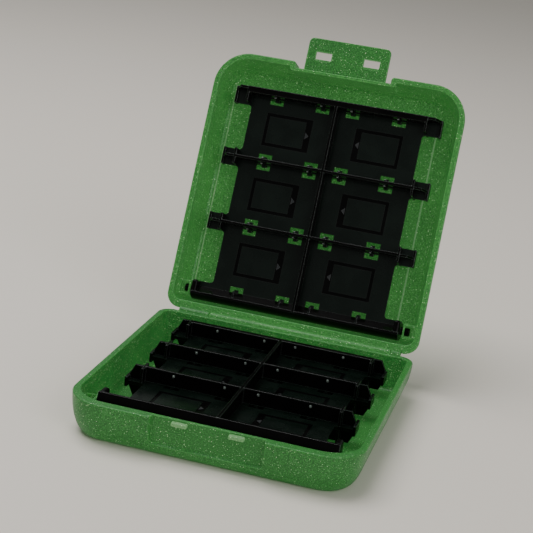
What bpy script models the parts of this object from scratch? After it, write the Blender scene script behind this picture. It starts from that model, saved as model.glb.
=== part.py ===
"""Game card case: two green shells on a barrel hinge, a latch flap, and two black two-sided card trays.

Metres, +Z up. The origin is the centre of the base's flat underside, +Y points from the front to the hinge.
The lid is built closed, then turned open about the hinge line, as it stands in the photograph.
Inside each shell, y is measured from the front rim and depth from the rim plane.
"""
import math

import bmesh
import bpy
from mathutils import Matrix, Vector

# Casing
CASE_WIDTH = 0.0904
CASE_DEPTH = 0.0934
HALF_HEIGHT = 0.0128
RIM_GAP = 0.0003
WALL = 0.0020
FLOOR = 0.0012
FRONT_RADIUS = 0.0122
REAR_RADIUS = 0.0050
SIDE_DRAW_IN = 0.0051
RIM_ROUND = 0.0003
CAVITY_ROUND = 0.0016
LID_REAR_EXTRA = 0.0009
LEAST_RADIUS = 0.0004
CUT_BEYOND = 0.0020

# Clearances
MOVING_GAP = 0.0003
SEAT_GAP = 0.0004

# Hinge
HINGE_BEHIND = 0.0010
HINGE_BELOW = 0.0005
BARREL_RADIUS = 0.0017
BARREL_LEFT_MARGIN = 0.0172
BARREL_RIGHT_MARGIN = 0.0088
BARREL_NECK_INNER = 0.0016
BARREL_NECK_OUTER = 0.0002
BARREL_NECK_TOP = 0.0016
PEG_RADIUS = 0.0009
PEG_LENGTH = 0.0024
KNUCKLE_LENGTH = 0.0032
OPEN_ANGLE = math.radians(112)

# Latch
RECESS_HALF = 0.0172
RECESS_DEPTH = 0.0023
RECESS_WALL = 0.0012
RECESS_DROP = 0.0090
RECESS_MOUTH = 0.0012
FLAP_SIDE_GAP = 0.0024
FLAP_THICKNESS = 0.0013
FLAP_AXIS_Z = 0.0038
FLAP_END_GAP = 0.0013
FLAP_CORNER = 0.0018
SLOT_CENTRE_X = 0.0087
SLOT_HALF = 0.0029
SLOT_AROUND_CATCH = 0.0008
LEDGE_INSET = 0.0003
LEDGE_PROUD = 0.0003
LEDGE_WIDTH = 0.0006
CATCH_INSET = 0.0005
CATCH_TOP = 0.0006
CATCH_HEIGHT = 0.0012
CATCH_SUNK = 0.0007
CATCH_ROOT = 0.0006

# Tray
TRAY_FRONT_MARGIN = 0.0137
TRAY_REAR_MARGIN = 0.0085
TRAY_END_MARGIN = 0.0077
LINE_SHIFT = 0.0007
TIP_GAP = 0.0004
TRAY_FLOOR_HALF = 0.00055
WALL_HALF = 0.0006
END_PLATE = 0.0010
FRONT_BAR_OUTER = 0.0017
HOOK_REACH = 0.0029
FRONT_HOOK_REACH = 0.0038
TAB_LENGTH = 0.0065
TAB_SHOULDER = 0.0023
NOTCH_ROUND = 0.0012
NOTCH_STEP = 0.0006
TAB_HALF = 0.0031
TAB_PLATE = 0.0010
TAB_HALF_HEIGHT = 0.0016
TAB_INSET = 0.0001
PIVOT_FOOT = 0.0003
PIVOT_PEAK = 0.00245
PIVOT_TOP = 0.00075
PIVOT_BULGE = 0.0018
PIVOT_TAB = 0.0017
PIVOT_BLOCK = 0.0022
PIVOT_SLOT_SHIFT = 0.0009
PIN_OFFSET = 0.00145
PIN_RADIUS = 0.0014
PIN_LENGTH = 0.0032
GRIP_SLOT_FROM_SPINE = 0.00545
GRIP_SLOT_FROM_END = 0.0094
GRIP_SLOT_HALF = 0.0025
GRIP_SLOT_NEAR = 0.0009
GRIP_SLOT_FAR = 0.0029
NUB_HALF = 0.00125
NUB_PROUD = 0.0010
NUB_BELOW_TIP = 0.0003
NUB_HEIGHT = 0.0009
NUB_ROOT = 0.0003
RING_FROM_SPINE = 0.0078
RING_FROM_END = 0.0069
RING_FROM_LINE = 0.0059
RING_BAND = 0.0012
RING_WIDE_BAND = 0.0023
RING_DEPTH = 0.00025

# Pivot sockets
SOCKET_END_GAP = 0.0009
SOCKET_HALF_Y = 0.0026
SOCKET_RISE = 0.0023
SOCKET_FACE = 0.0006
SOCKET_POCKET_END = 0.0016
SOCKET_POCKET_HALF = 0.0019
SOCKET_ROOT = 0.0016

# Counts
CORNER_STEPS = 7
SIDE_STEPS = 6
CAVITY_STEPS = 3
ROUND_STEPS = 24
NOTCH_STEPS = 3
PIVOT_STEPS = 6
ROWS = 3

RIM_Z = HALF_HEIGHT
LID_RIM_Z = HALF_HEIGHT + RIM_GAP
FRONT_Y = -CASE_DEPTH / 2
HINGE_Y = CASE_DEPTH / 2 + HINGE_BEHIND
HINGE_Z = HALF_HEIGHT - HINGE_BELOW
CAVITY_DEPTH = HALF_HEIGHT - FLOOR
BARREL_LEFT = -CASE_WIDTH / 2 + BARREL_LEFT_MARGIN
BARREL_RIGHT = CASE_WIDTH / 2 - BARREL_RIGHT_MARGIN
FLAP_HALF = RECESS_HALF - FLAP_SIDE_GAP
FLAP_AXIS_Y = RECESS_DEPTH - MOVING_GAP - FLAP_THICKNESS / 2
FLAP_LENGTH = FLAP_AXIS_Z + RECESS_DROP - FLAP_END_GAP
CATCH_HALF = SLOT_HALF - CATCH_INSET
SLOT_NEAR = FLAP_AXIS_Z + RIM_GAP + CATCH_TOP - SLOT_AROUND_CATCH
SLOT_FAR = SLOT_NEAR + CATCH_HEIGHT + 2 * SLOT_AROUND_CATCH
LEDGE_HALF = SLOT_HALF - LEDGE_INSET
ROW_PITCH = (CASE_DEPTH - TRAY_FRONT_MARGIN - TRAY_REAR_MARGIN) / ROWS
TRAY_CENTRE_Y = TRAY_FRONT_MARGIN + ROWS / 2 * ROW_PITCH
TRAY_HALF_HEIGHT = (CAVITY_DEPTH - SEAT_GAP - TIP_GAP) / 2
TRAY_DEPTH = TIP_GAP + TRAY_HALF_HEIGHT
TAB_X = CASE_WIDTH / 2 - TRAY_END_MARGIN
NOTCH_X = TAB_X - TAB_LENGTH
POCKET_END_X = NOTCH_X + NOTCH_STEP
PIN_END_X = TAB_X + PIN_LENGTH
GRIP_SLOT_X = (GRIP_SLOT_FROM_SPINE, POCKET_END_X - GRIP_SLOT_FROM_END)
RING_X = (RING_FROM_SPINE, POCKET_END_X - RING_FROM_END)
RING_HALF_Y = ROW_PITCH / 2 - RING_FROM_LINE
NUB_HIGH = TRAY_HALF_HEIGHT - NUB_BELOW_TIP
NUB_LOW = NUB_HIGH - NUB_HEIGHT
PIVOT_Y = ROWS / 2 * ROW_PITCH - LINE_SHIFT + PIN_OFFSET
SOCKET_INNER_X = TAB_X + SOCKET_END_GAP
SOCKET_BORE_END = PIN_END_X + MOVING_GAP


def clear_scene():
    """Removes every object that the scene holds."""
    for item in list(bpy.data.objects):
        bpy.data.objects.remove(item, do_unlink=True)


def make_material(name, colour, roughness, transmission):
    """Returns a Principled material."""
    material = bpy.data.materials.new(name)
    material.use_nodes = True
    shader = material.node_tree.nodes["Principled BSDF"]
    shader.inputs["Base Color"].default_value = (*colour, 1)
    shader.inputs["Roughness"].default_value = roughness
    shader.inputs["Transmission Weight"].default_value = transmission
    return material


def add_object(name, mesh, collection):
    """Puts a mesh into a collection as a new object."""
    item = bpy.data.objects.new(name, mesh)
    collection.objects.link(item)
    return item


def mesh_from(name, build):
    """Returns a mesh that the build function fills in."""
    shape = bmesh.new()
    build(shape)
    bmesh.ops.recalc_face_normals(shape, faces=shape.faces)
    mesh = bpy.data.meshes.new(name)
    shape.to_mesh(mesh)
    shape.free()
    return mesh


def add_rings(shape, rings):
    """Adds a closed solid through rings of points with the same count, capped at both ends."""
    loops = [[shape.verts.new(point) for point in ring] for ring in rings]
    count = len(loops[0])
    for low, high in zip(loops, loops[1:]):
        for index in range(count):
            following = (index + 1) % count
            shape.faces.new((low[index], low[following], high[following], high[index]))
    shape.faces.new(list(reversed(loops[0])))
    shape.faces.new(loops[-1])


def add_block(shape, x_span, y_span, z_span):
    """Adds a box between the given spans."""
    corners = [(x_span[0], y_span[0]), (x_span[1], y_span[0]), (x_span[1], y_span[1]), (x_span[0], y_span[1])]
    add_rings(shape, [[(x, y, z) for x, y in corners] for z in z_span])


def add_prism(shape, outline, z_span):
    """Adds a flat outline raised between two heights."""
    add_rings(shape, [[(x, y, z) for x, y in outline] for z in z_span])


def add_frame(shape, outer, inner, z_span):
    """Adds a rectangular ring with a rectangular hole."""
    rows = []
    low, high = z_span
    for (x_low, x_high, y_low, y_high), z in ((outer, low), (outer, high), (inner, high), (inner, low)):
        rows.append([(x_low, y_low, z), (x_high, y_low, z), (x_high, y_high, z), (x_low, y_high, z)])
    loops = [[shape.verts.new(point) for point in row] for row in rows]
    for row in range(len(loops)):
        low, high = loops[row], loops[(row + 1) % len(loops)]
        for index in range(len(low)):
            following = (index + 1) % len(low)
            shape.faces.new((low[index], low[following], high[following], high[index]))


def add_rod(shape, x_span, y, z, radius):
    """Adds a round rod along X."""
    angles = [2 * math.pi * step / ROUND_STEPS for step in range(ROUND_STEPS)]
    add_rings(shape, [[(x, y + radius * math.cos(a), z + radius * math.sin(a)) for a in angles] for x in x_span])


def combine(target, tool, operation):
    """Adds an exact Boolean of the tool to the target."""
    modifier = target.modifiers.new(tool.name, "BOOLEAN")
    modifier.object = tool
    modifier.operation = operation
    modifier.solver = "EXACT"


def make_tool(name, build, cutters):
    """Returns a hidden tool object for a Boolean."""
    tool = add_object(name, mesh_from(name, build), cutters)
    tool.hide_render = True
    tool.display_type = "WIRE"
    return tool


def shell_outline(inset, front_inset, rear_inset):
    """Returns the casing's outline drawn in by an inset, with its front and rear sides drawn in by their own."""
    x_edge = CASE_WIDTH / 2 - inset
    front = FRONT_Y + front_inset
    rear = -FRONT_Y - rear_inset
    front_r = max(FRONT_RADIUS - inset, LEAST_RADIUS)
    rear_r = max(REAR_RADIUS - inset, LEAST_RADIUS)
    corners = [
        (x_edge - front_r, front + front_r, front_r, -90),
        (x_edge - rear_r, rear - rear_r, rear_r, 0),
        (-x_edge + rear_r, rear - rear_r, rear_r, 90),
        (-x_edge + front_r, front + front_r, front_r, 180),
    ]
    points = []
    for x, y, radius, start in corners:
        for step in range(CORNER_STEPS + 1):
            angle = math.radians(start + 90 * step / CORNER_STEPS)
            points.append((x + radius * math.cos(angle), y + radius * math.sin(angle)))
    return points


def draw_in(depth):
    """Returns how far a shell's side is drawn in at a depth below its rim, along a quarter of an ellipse."""
    return SIDE_DRAW_IN * (1 - math.sqrt(max(0, 1 - (depth / HALF_HEIGHT) ** 2)))


def outer_levels():
    """Returns (depth below the rim, inset) pairs up the outside of a shell, from its flat face to its rim."""
    levels = []
    for step in range(SIDE_STEPS + 1):
        depth = HALF_HEIGHT * math.cos(math.radians(90 * step / SIDE_STEPS))
        levels.append((max(depth, RIM_ROUND), draw_in(depth)))
    levels.append((0, RIM_ROUND))
    return levels


def cavity_levels():
    """Returns (depth below the rim, inset) pairs up the inside of a shell, from its floor to above its rim."""
    levels = []
    foot = CAVITY_DEPTH - CAVITY_ROUND
    for step in range(CAVITY_STEPS + 1):
        angle = math.radians(90 * step / CAVITY_STEPS)
        inset = WALL + draw_in(foot) + CAVITY_ROUND * (1 - math.sin(angle))
        levels.append((CAVITY_DEPTH - CAVITY_ROUND * (1 - math.cos(angle)), inset))
    for step in range(1, CAVITY_STEPS):
        depth = foot * (1 - step / CAVITY_STEPS)
        levels.append((depth, WALL + draw_in(depth)))
    levels.append((0, WALL))
    levels.append((-CUT_BEYOND, WALL))
    return levels


def recess_outline():
    """Returns the outline of the latch recess, whose mouth flares in a rounding on each side."""
    right = [(RECESS_HALF, FRONT_Y + RECESS_DEPTH)]
    for step in range(NOTCH_STEPS + 1):
        angle = math.radians(90 * step / NOTCH_STEPS)
        x = RECESS_HALF + RECESS_MOUTH * (1 - math.cos(angle))
        right.append((x, FRONT_Y + RECESS_MOUTH * (1 - math.sin(angle))))
    right.append((RECESS_HALF + RECESS_MOUTH, FRONT_Y - CUT_BEYOND))
    return right + [(-x, y) for x, y in reversed(right)]


def make_shell(name, side, front_extra, rear_extra, material, parts, cutters):
    """Returns one half of the casing, hollow and with its latch recess. Side is -1 for the base and 1 for the lid."""
    rim = RIM_Z if side < 0 else LID_RIM_Z

    def height(depth):
        """Returns the height of a depth below this shell's rim."""
        return rim + side * depth

    def outside(shape):
        rings = []
        for depth, inset in outer_levels():
            outline = shell_outline(inset, inset, inset)
            rings.append([(x, y, height(depth)) for x, y in outline])
        add_rings(shape, rings)

    def cavity(shape):
        rings = []
        for depth, inset in cavity_levels():
            outline = shell_outline(inset, inset + front_extra, inset + rear_extra)
            rings.append([(x, y, height(depth)) for x, y in outline])
        add_rings(shape, rings)

    def recess(shape):
        drop = RECESS_DROP if side < 0 else HALF_HEIGHT + CUT_BEYOND
        add_prism(shape, recess_outline(), sorted((height(-CUT_BEYOND), height(drop))))

    def backing(shape):
        drop = HALF_HEIGHT + CUT_BEYOND
        edge = RECESS_HALF + WALL
        y_span = (FRONT_Y - CUT_BEYOND, FRONT_Y + RECESS_DEPTH + RECESS_WALL)
        z_span = sorted((height(-2 * CUT_BEYOND), height(drop)))
        add_block(shape, (-edge, edge), y_span, z_span)

    body = add_object(name, mesh_from(name, outside), parts)
    body.data.materials.append(material)
    hollow = make_tool(name + "_cavity", cavity, cutters)
    combine(hollow, make_tool(name + "_recess_backing", backing, cutters), "DIFFERENCE")
    combine(body, make_tool(name + "_recess", recess, cutters), "DIFFERENCE")
    combine(body, hollow, "DIFFERENCE")
    return body


def add_sockets(body, side, pivot_y, cutters):
    """Adds the two bored blocks that carry a tray's pivot pins."""
    rim = RIM_Z if side < 0 else LID_RIM_Z
    middle = rim + side * TRAY_DEPTH
    wall_x = CASE_WIDTH / 2 - SOCKET_ROOT

    def blocks(shape):
        y_span = (pivot_y - SOCKET_HALF_Y, pivot_y + SOCKET_HALF_Y)
        z_span = (middle - SOCKET_RISE, middle + SOCKET_RISE)
        add_block(shape, (SOCKET_INNER_X, wall_x), y_span, z_span)
        add_block(shape, (-wall_x, -SOCKET_INNER_X), y_span, z_span)

    def bores(shape):
        radius = PIN_RADIUS + MOVING_GAP
        add_rod(shape, (SOCKET_INNER_X - CUT_BEYOND, SOCKET_BORE_END), pivot_y, middle, radius)
        add_rod(shape, (-SOCKET_BORE_END, -SOCKET_INNER_X + CUT_BEYOND), pivot_y, middle, radius)

    def pockets(shape):
        y_span = (pivot_y - SOCKET_POCKET_HALF, pivot_y + SOCKET_POCKET_HALF)
        z_span = sorted((middle, middle - side * (SOCKET_RISE + CUT_BEYOND)))
        near, far = SOCKET_INNER_X + SOCKET_FACE, wall_x - SOCKET_POCKET_END
        add_block(shape, (near, far), y_span, z_span)
        add_block(shape, (-far, -near), y_span, z_span)

    combine(body, make_tool(body.name + "_sockets", blocks, cutters), "UNION")
    combine(body, make_tool(body.name + "_socket_bores", bores, cutters), "DIFFERENCE")
    combine(body, make_tool(body.name + "_socket_pockets", pockets, cutters), "DIFFERENCE")


def add_base_hinge(body, cutters):
    """Clears the base's rear rim for the lid's barrel, and adds a bored knuckle at each end of it."""
    left = BARREL_LEFT - MOVING_GAP
    right = BARREL_RIGHT + MOVING_GAP

    def seat(shape):
        add_rod(shape, (left, right), HINGE_Y, HINGE_Z, BARREL_RADIUS + MOVING_GAP)

    def knuckles(shape):
        add_rod(shape, (left - KNUCKLE_LENGTH, left), HINGE_Y, HINGE_Z, BARREL_RADIUS)
        add_rod(shape, (right, right + KNUCKLE_LENGTH), HINGE_Y, HINGE_Z, BARREL_RADIUS)

    def bores(shape):
        radius = PEG_RADIUS + MOVING_GAP
        add_rod(shape, (BARREL_LEFT - PEG_LENGTH - MOVING_GAP, left + CUT_BEYOND), HINGE_Y, HINGE_Z, radius)
        add_rod(shape, (right - CUT_BEYOND, BARREL_RIGHT + PEG_LENGTH + MOVING_GAP), HINGE_Y, HINGE_Z, radius)

    combine(body, make_tool("base_hinge_seat", seat, cutters), "DIFFERENCE")
    combine(body, make_tool("base_knuckles", knuckles, cutters), "UNION")
    combine(body, make_tool("base_knuckle_bores", bores, cutters), "DIFFERENCE")


def add_lid_hinge(body, cutters):
    """Adds the lid's long barrel with a peg at each end, and clears the lid's rim around the base's knuckles."""
    left = BARREL_LEFT - 2 * MOVING_GAP
    right = BARREL_RIGHT + 2 * MOVING_GAP

    def clearance(shape):
        radius = BARREL_RADIUS + MOVING_GAP
        add_rod(shape, (left - KNUCKLE_LENGTH, BARREL_LEFT), HINGE_Y, HINGE_Z, radius)
        add_rod(shape, (BARREL_RIGHT, right + KNUCKLE_LENGTH), HINGE_Y, HINGE_Z, radius)

    def barrel(shape):
        add_rod(shape, (BARREL_LEFT, BARREL_RIGHT), HINGE_Y, HINGE_Z, BARREL_RADIUS)

    def neck(shape):
        x_span = (BARREL_LEFT + MOVING_GAP, BARREL_RIGHT - MOVING_GAP)
        y_span = (HINGE_Y - BARREL_NECK_INNER, HINGE_Y - BARREL_NECK_OUTER)
        add_block(shape, x_span, y_span, (LID_RIM_Z + RIM_ROUND, HINGE_Z + BARREL_NECK_TOP))

    def pegs(shape):
        add_rod(shape, (BARREL_LEFT - PEG_LENGTH, BARREL_RIGHT + PEG_LENGTH), HINGE_Y, HINGE_Z, PEG_RADIUS)

    combine(body, make_tool("lid_knuckle_clearance", clearance, cutters), "DIFFERENCE")
    combine(body, make_tool("lid_barrel", barrel, cutters), "UNION")
    combine(body, make_tool("lid_barrel_neck", neck, cutters), "UNION")
    combine(body, make_tool("lid_barrel_pegs", pegs, cutters), "UNION")


def add_catches(body, cutters):
    """Adds the two catches in the base's recess, which the flap's slots snap over."""
    def catches(shape):
        y_span = (FRONT_Y + CATCH_SUNK, FRONT_Y + RECESS_DEPTH + CATCH_ROOT)
        z_span = (RIM_Z - CATCH_TOP - CATCH_HEIGHT, RIM_Z - CATCH_TOP)
        for x in (-SLOT_CENTRE_X, SLOT_CENTRE_X):
            add_block(shape, (x - CATCH_HALF, x + CATCH_HALF), y_span, z_span)

    combine(body, make_tool("base_catches", catches, cutters), "UNION")


def make_flap(material, parts, cutters):
    """Returns the latch flap, straight out from the closed lid, its round root on the latch's hinge line."""
    axis_y = FRONT_Y + FLAP_AXIS_Y
    axis_z = LID_RIM_Z + FLAP_AXIS_Z
    half = FLAP_THICKNESS / 2

    def plate(shape):
        tip = axis_y - FLAP_LENGTH
        outline = [(FLAP_HALF, axis_y), (-FLAP_HALF, axis_y)]
        for x, start in ((-FLAP_HALF + FLAP_CORNER, 180), (FLAP_HALF - FLAP_CORNER, 270)):
            for step in range(NOTCH_STEPS + 1):
                angle = math.radians(start + 90 * step / NOTCH_STEPS)
                outline.append((x + FLAP_CORNER * math.cos(angle), tip + FLAP_CORNER + FLAP_CORNER * math.sin(angle)))
        add_prism(shape, outline, (axis_z - half, axis_z + half))

    def root(shape):
        add_rod(shape, (-FLAP_HALF, FLAP_HALF), axis_y, axis_z, half)

    def slots(shape):
        for x in (-SLOT_CENTRE_X, SLOT_CENTRE_X):
            y_span = (axis_y - SLOT_FAR, axis_y - SLOT_NEAR)
            add_block(shape, (x - SLOT_HALF, x + SLOT_HALF), y_span, (axis_z - 2 * half, axis_z + 2 * half))

    def ledges(shape):
        for x in (-SLOT_CENTRE_X, SLOT_CENTRE_X):
            y_span = (axis_y - SLOT_NEAR, axis_y - SLOT_NEAR + LEDGE_WIDTH)
            add_block(shape, (x - LEDGE_HALF, x + LEDGE_HALF), y_span, (axis_z - half - LEDGE_PROUD, axis_z))

    flap = add_object("latch_flap", mesh_from("latch_flap", plate), parts)
    flap.data.materials.append(material)
    combine(flap, make_tool("flap_root", root, cutters), "UNION")
    combine(flap, make_tool("flap_ledges", ledges, cutters), "UNION")
    combine(flap, make_tool("flap_slots", slots, cutters), "DIFFERENCE")
    return flap


def divider_places():
    """Returns the four divider lines of a tray, from its free end to its pivot end, about the tray's centre."""
    return [(index - ROWS / 2) * ROW_PITCH - LINE_SHIFT for index in range(ROWS + 1)]


def wall_outline():
    """Returns the outline of the tray's full-height walls: the spine, three bars and their hooked ends."""
    free, second, third, pivot = divider_places()
    right = []
    for line, low, high in (
        (free, FRONT_BAR_OUTER, FRONT_HOOK_REACH),
        (second, HOOK_REACH, HOOK_REACH),
        (third, HOOK_REACH, HOOK_REACH),
    ):
        end = POCKET_END_X + END_PLATE
        if line == free:
            right += [(end, line - low)]
        else:
            right += [(WALL_HALF, line - WALL_HALF), (POCKET_END_X, line - WALL_HALF)]
            right += [(POCKET_END_X, line - low), (end, line - low)]
        right += [(end, line + high), (POCKET_END_X, line + high)]
        right += [(POCKET_END_X, line + WALL_HALF), (WALL_HALF, line + WALL_HALF)]
    right += [(WALL_HALF, pivot + PIVOT_PEAK + PIVOT_TOP)]
    return right + [(-x, y) for x, y in reversed(right)]


def floor_outline():
    """Returns the outline of the tray's floor, with its tabs and the rounded notches between them."""
    free, second, third, pivot = divider_places()
    edge = TAB_X - TAB_INSET
    half = TAB_HALF - TAB_INSET
    tabs = [
        (free - FRONT_BAR_OUTER + TAB_INSET, free + 2 * half - FRONT_BAR_OUTER),
        (second - half, second + half),
        (third - half, third + half),
        (pivot - PIVOT_TAB, pivot + PIN_OFFSET),
    ]
    right = []
    for number, (low, high) in enumerate(tabs):
        if number:
            right += corner_points(NOTCH_X, low, -1)
        right += [(edge, low), (edge, high)]
        if number < ROWS:
            right += corner_points(NOTCH_X, high, 1)
    return right + [(-x, y) for x, y in reversed(right)]


def corner_points(x, y, direction):
    """Returns the rounded inner corner of a notch, whose tab edge lies at y."""
    points = []
    for step in range(NOTCH_STEPS + 1):
        angle = math.radians(90 * step / NOTCH_STEPS)
        across = x + NOTCH_ROUND * (1 - math.sin(angle))
        along = y + direction * NOTCH_ROUND * (1 - math.cos(angle))
        points.append((across, along))
    return points if direction > 0 else list(reversed(points))


def pivot_profile():
    """Returns the pivot bar's (y, z) section: sides sloping up from the floors, flat tips and a bulging outer side."""
    pivot = divider_places()[-1]
    high = TRAY_HALF_HEIGHT - TAB_INSET
    tip = pivot + PIVOT_PEAK + PIVOT_TOP
    radius = (high ** 2 + PIVOT_BULGE ** 2) / (2 * PIVOT_BULGE)
    reach = math.asin(high / radius)
    points = [(pivot + PIVOT_PEAK, high), (pivot - PIVOT_FOOT, 0), (pivot + PIVOT_PEAK, -high)]
    for step in range(PIVOT_STEPS + 1):
        angle = reach * (2 * step / PIVOT_STEPS - 1)
        points.append((tip + PIVOT_BULGE - radius + radius * math.cos(angle), radius * math.sin(angle)))
    return points


def rib_section():
    """Returns the (x, z) section of a tab's rib, full height at the pockets and sloping down to its tip."""
    high = TRAY_HALF_HEIGHT - TAB_INSET
    start = POCKET_END_X + END_PLATE / 2
    shoulder = TAB_X - TAB_SHOULDER
    tip = TAB_X - TAB_PLATE / 2
    return [
        (start, -high),
        (shoulder, -high),
        (tip, -TAB_HALF_HEIGHT),
        (tip, TAB_HALF_HEIGHT),
        (shoulder, high),
        (start, high),
    ]


def make_tray(name, centre_y, middle_z, turned, material, parts, cutters):
    """Returns one two-sided tray: its walls, floor, tabs, pivot bar with pins, card nubs, slots and ring grooves."""
    place = Matrix.Translation((0, centre_y, middle_z))
    if turned:
        place = place @ Matrix.Rotation(math.pi, 4, "Z")
    lines = divider_places()
    bar_sides = [(lines[0], 1), (lines[1], -1), (lines[1], 1), (lines[2], -1), (lines[2], 1), (lines[3], -1)]

    def walls(shape):
        add_prism(shape, wall_outline(), (-TRAY_HALF_HEIGHT, TRAY_HALF_HEIGHT))

    def floor(shape):
        add_prism(shape, floor_outline(), (-TRAY_FLOOR_HALF, TRAY_FLOOR_HALF))

    def tab_ribs(shape):
        half = WALL_HALF - TAB_INSET
        free_line = lines[0] - FRONT_BAR_OUTER + TAB_INSET + half
        for line in (free_line, lines[1], lines[2]):
            for side in (-1, 1):
                section = [(side * x, z) for x, z in rib_section()]
                add_rings(shape, [[(x, y, z) for x, z in section] for y in (line - half, line + half)])

    def tab_plates(shape):
        height = TAB_HALF_HEIGHT + TAB_INSET
        for line, low, high in (
            (lines[0], FRONT_BAR_OUTER, 2 * TAB_HALF - FRONT_BAR_OUTER),
            (lines[1], TAB_HALF, TAB_HALF),
            (lines[2], TAB_HALF, TAB_HALF),
        ):
            for side in (-1, 1):
                x_span = sorted((side * (TAB_X - TAB_PLATE), side * TAB_X))
                add_block(shape, x_span, (line - low, line + high), (-height, height))

    def pivot_bar(shape):
        end = TAB_X - TAB_INSET
        add_rings(shape, [[(x, y, z) for y, z in pivot_profile()] for x in (-end, end)])

    def pivot_ends(shape):
        high = TRAY_HALF_HEIGHT - TAB_INSET
        for side in (-1, 1):
            x_span = sorted((side * (TAB_X - PIVOT_BLOCK), side * TAB_X))
            y_span = (lines[3] - PIVOT_TAB, lines[3] + PIVOT_PEAK + PIVOT_TOP)
            add_block(shape, x_span, y_span, (-high, high))

    def pins(shape):
        add_rod(shape, (-PIN_END_X, PIN_END_X), lines[3] + PIN_OFFSET, 0, PIN_RADIUS)

    def nubs(shape):
        for line, side in bar_sides:
            root, tip = WALL_HALF - NUB_ROOT, WALL_HALF + NUB_PROUD
            if line == lines[3]:
                root, tip = -PIVOT_PEAK - NUB_ROOT, NUB_ROOT
            y_span = sorted((line + side * root, line + side * tip))
            for x in (*GRIP_SLOT_X, *(-x for x in GRIP_SLOT_X)):
                add_block(shape, (x - NUB_HALF, x + NUB_HALF), y_span, (NUB_LOW, NUB_HIGH))
                add_block(shape, (x - NUB_HALF, x + NUB_HALF), y_span, (-NUB_HIGH, -NUB_LOW))

    def slots(shape):
        height = 2 * TRAY_FLOOR_HALF
        for line, side in bar_sides:
            if line == lines[3]:
                line += PIVOT_SLOT_SHIFT
            y_span = sorted((line + side * GRIP_SLOT_NEAR, line + side * GRIP_SLOT_FAR))
            for x in (*GRIP_SLOT_X, *(-x for x in GRIP_SLOT_X)):
                add_block(shape, (x - GRIP_SLOT_HALF, x + GRIP_SLOT_HALF), y_span, (-height, height))

    def grooves(shape):
        for row in range(ROWS):
            y = (lines[row] + lines[row + 1]) / 2
            y_low, y_high = y - RING_HALF_Y, y + RING_HALF_Y
            for side in (-1, 1):
                near, far = RING_X
                outer = (*sorted((side * near, side * far)), y_low, y_high)
                island = sorted((side * (near + RING_WIDE_BAND), side * (far - RING_BAND)))
                inner = (*island, y_low + RING_BAND, y_high - RING_BAND)
                for face in (-1, 1):
                    z_span = sorted((face * (TRAY_FLOOR_HALF - RING_DEPTH), face * 2 * TRAY_FLOOR_HALF))
                    add_frame(shape, outer, inner, z_span)

    tray = add_object(name, mesh_from(name, walls), parts)
    tray.data.materials.append(material)
    tray.matrix_world = place
    steps = [
        ("floor", floor, "UNION"),
        ("tab_ribs", tab_ribs, "UNION"),
        ("tab_plates", tab_plates, "UNION"),
        ("pivot_bar", pivot_bar, "UNION"),
        ("pivot_ends", pivot_ends, "UNION"),
        ("pins", pins, "UNION"),
        ("nubs", nubs, "UNION"),
        ("slots", slots, "DIFFERENCE"),
        ("grooves", grooves, "DIFFERENCE"),
    ]
    for step_name, build, operation in steps:
        tool = make_tool(name + "_" + step_name, build, cutters)
        tool.matrix_world = place
        combine(tray, tool, operation)
    return tray


def open_lid(pieces):
    """Turns the lid and all that it carries from closed to open about the hinge line."""
    axis = Vector((0, HINGE_Y, HINGE_Z))
    turn = Matrix.Translation(axis) @ Matrix.Rotation(-OPEN_ANGLE, 4, "X") @ Matrix.Translation(-axis)
    for piece in pieces:
        piece.matrix_world = turn @ piece.matrix_world


def set_origin(piece, point):
    """Moves a piece's origin to a point while its shape stays where it is."""
    shift = Matrix.Translation(-Vector(point))
    piece.data.transform(shift @ piece.matrix_world)
    piece.matrix_world = Matrix.Translation(point)


def main():
    """Builds every piece of the case."""
    clear_scene()
    parts = bpy.data.collections.new("game_card_case")
    cutters = bpy.data.collections.new("cutters")
    for collection in (parts, cutters):
        bpy.context.scene.collection.children.link(collection)

    green = (0.045, 0.17, 0.03)
    black = (0.01, 0.012, 0.011)
    base_green = make_material("base_green", green, 0.35, 0.3)
    lid_green = make_material("lid_green", green, 0.35, 0.3)
    front_extra = RECESS_DEPTH + RECESS_WALL - WALL
    base = make_shell("base_shell", -1, front_extra, 0, base_green, parts, cutters)
    lid = make_shell("lid_shell", 1, 0, LID_REAR_EXTRA, lid_green, parts, cutters)

    centre = FRONT_Y + TRAY_CENTRE_Y
    add_sockets(base, -1, centre - PIVOT_Y, cutters)
    add_sockets(lid, 1, centre + PIVOT_Y, cutters)
    add_base_hinge(base, cutters)
    add_lid_hinge(lid, cutters)
    add_catches(base, cutters)
    flap = make_flap(make_material("flap_green", green, 0.35, 0.3), parts, cutters)

    base_black = make_material("base_tray_black", black, 0.25, 0)
    lid_black = make_material("lid_tray_black", black, 0.25, 0)
    make_tray("base_tray", centre, RIM_Z - TRAY_DEPTH, True, base_black, parts, cutters)
    lid_tray = make_tray("lid_tray", centre, LID_RIM_Z + TRAY_DEPTH, False, lid_black, parts, cutters)

    moving = [lid, flap, lid_tray]
    set_origin(lid, (0, HINGE_Y, HINGE_Z))
    set_origin(flap, (0, FRONT_Y + FLAP_AXIS_Y, LID_RIM_Z + FLAP_AXIS_Z))
    tools = [item for item in cutters.objects if item.name.startswith(("lid_", "flap_"))]
    open_lid(moving + tools)


main()
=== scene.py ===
"""The open game card case: green glitter shells on a barrel hinge, a latch flap and two black card trays.

First come the helpers that loft, join and cut meshes, then the finishes with their shared node groups, then
one class for each sub-assembly with its sizes as fields, and last the studio and the main function. Metres,
+Z up, +Y from the front to the hinge. The lid's pieces are built closed, then turned open about the hinge.
"""

import logging
import math
from collections.abc import Callable, Sequence
from dataclasses import dataclass
from enum import Enum

import bmesh
import bpy
from mathutils import Matrix, Vector

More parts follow.
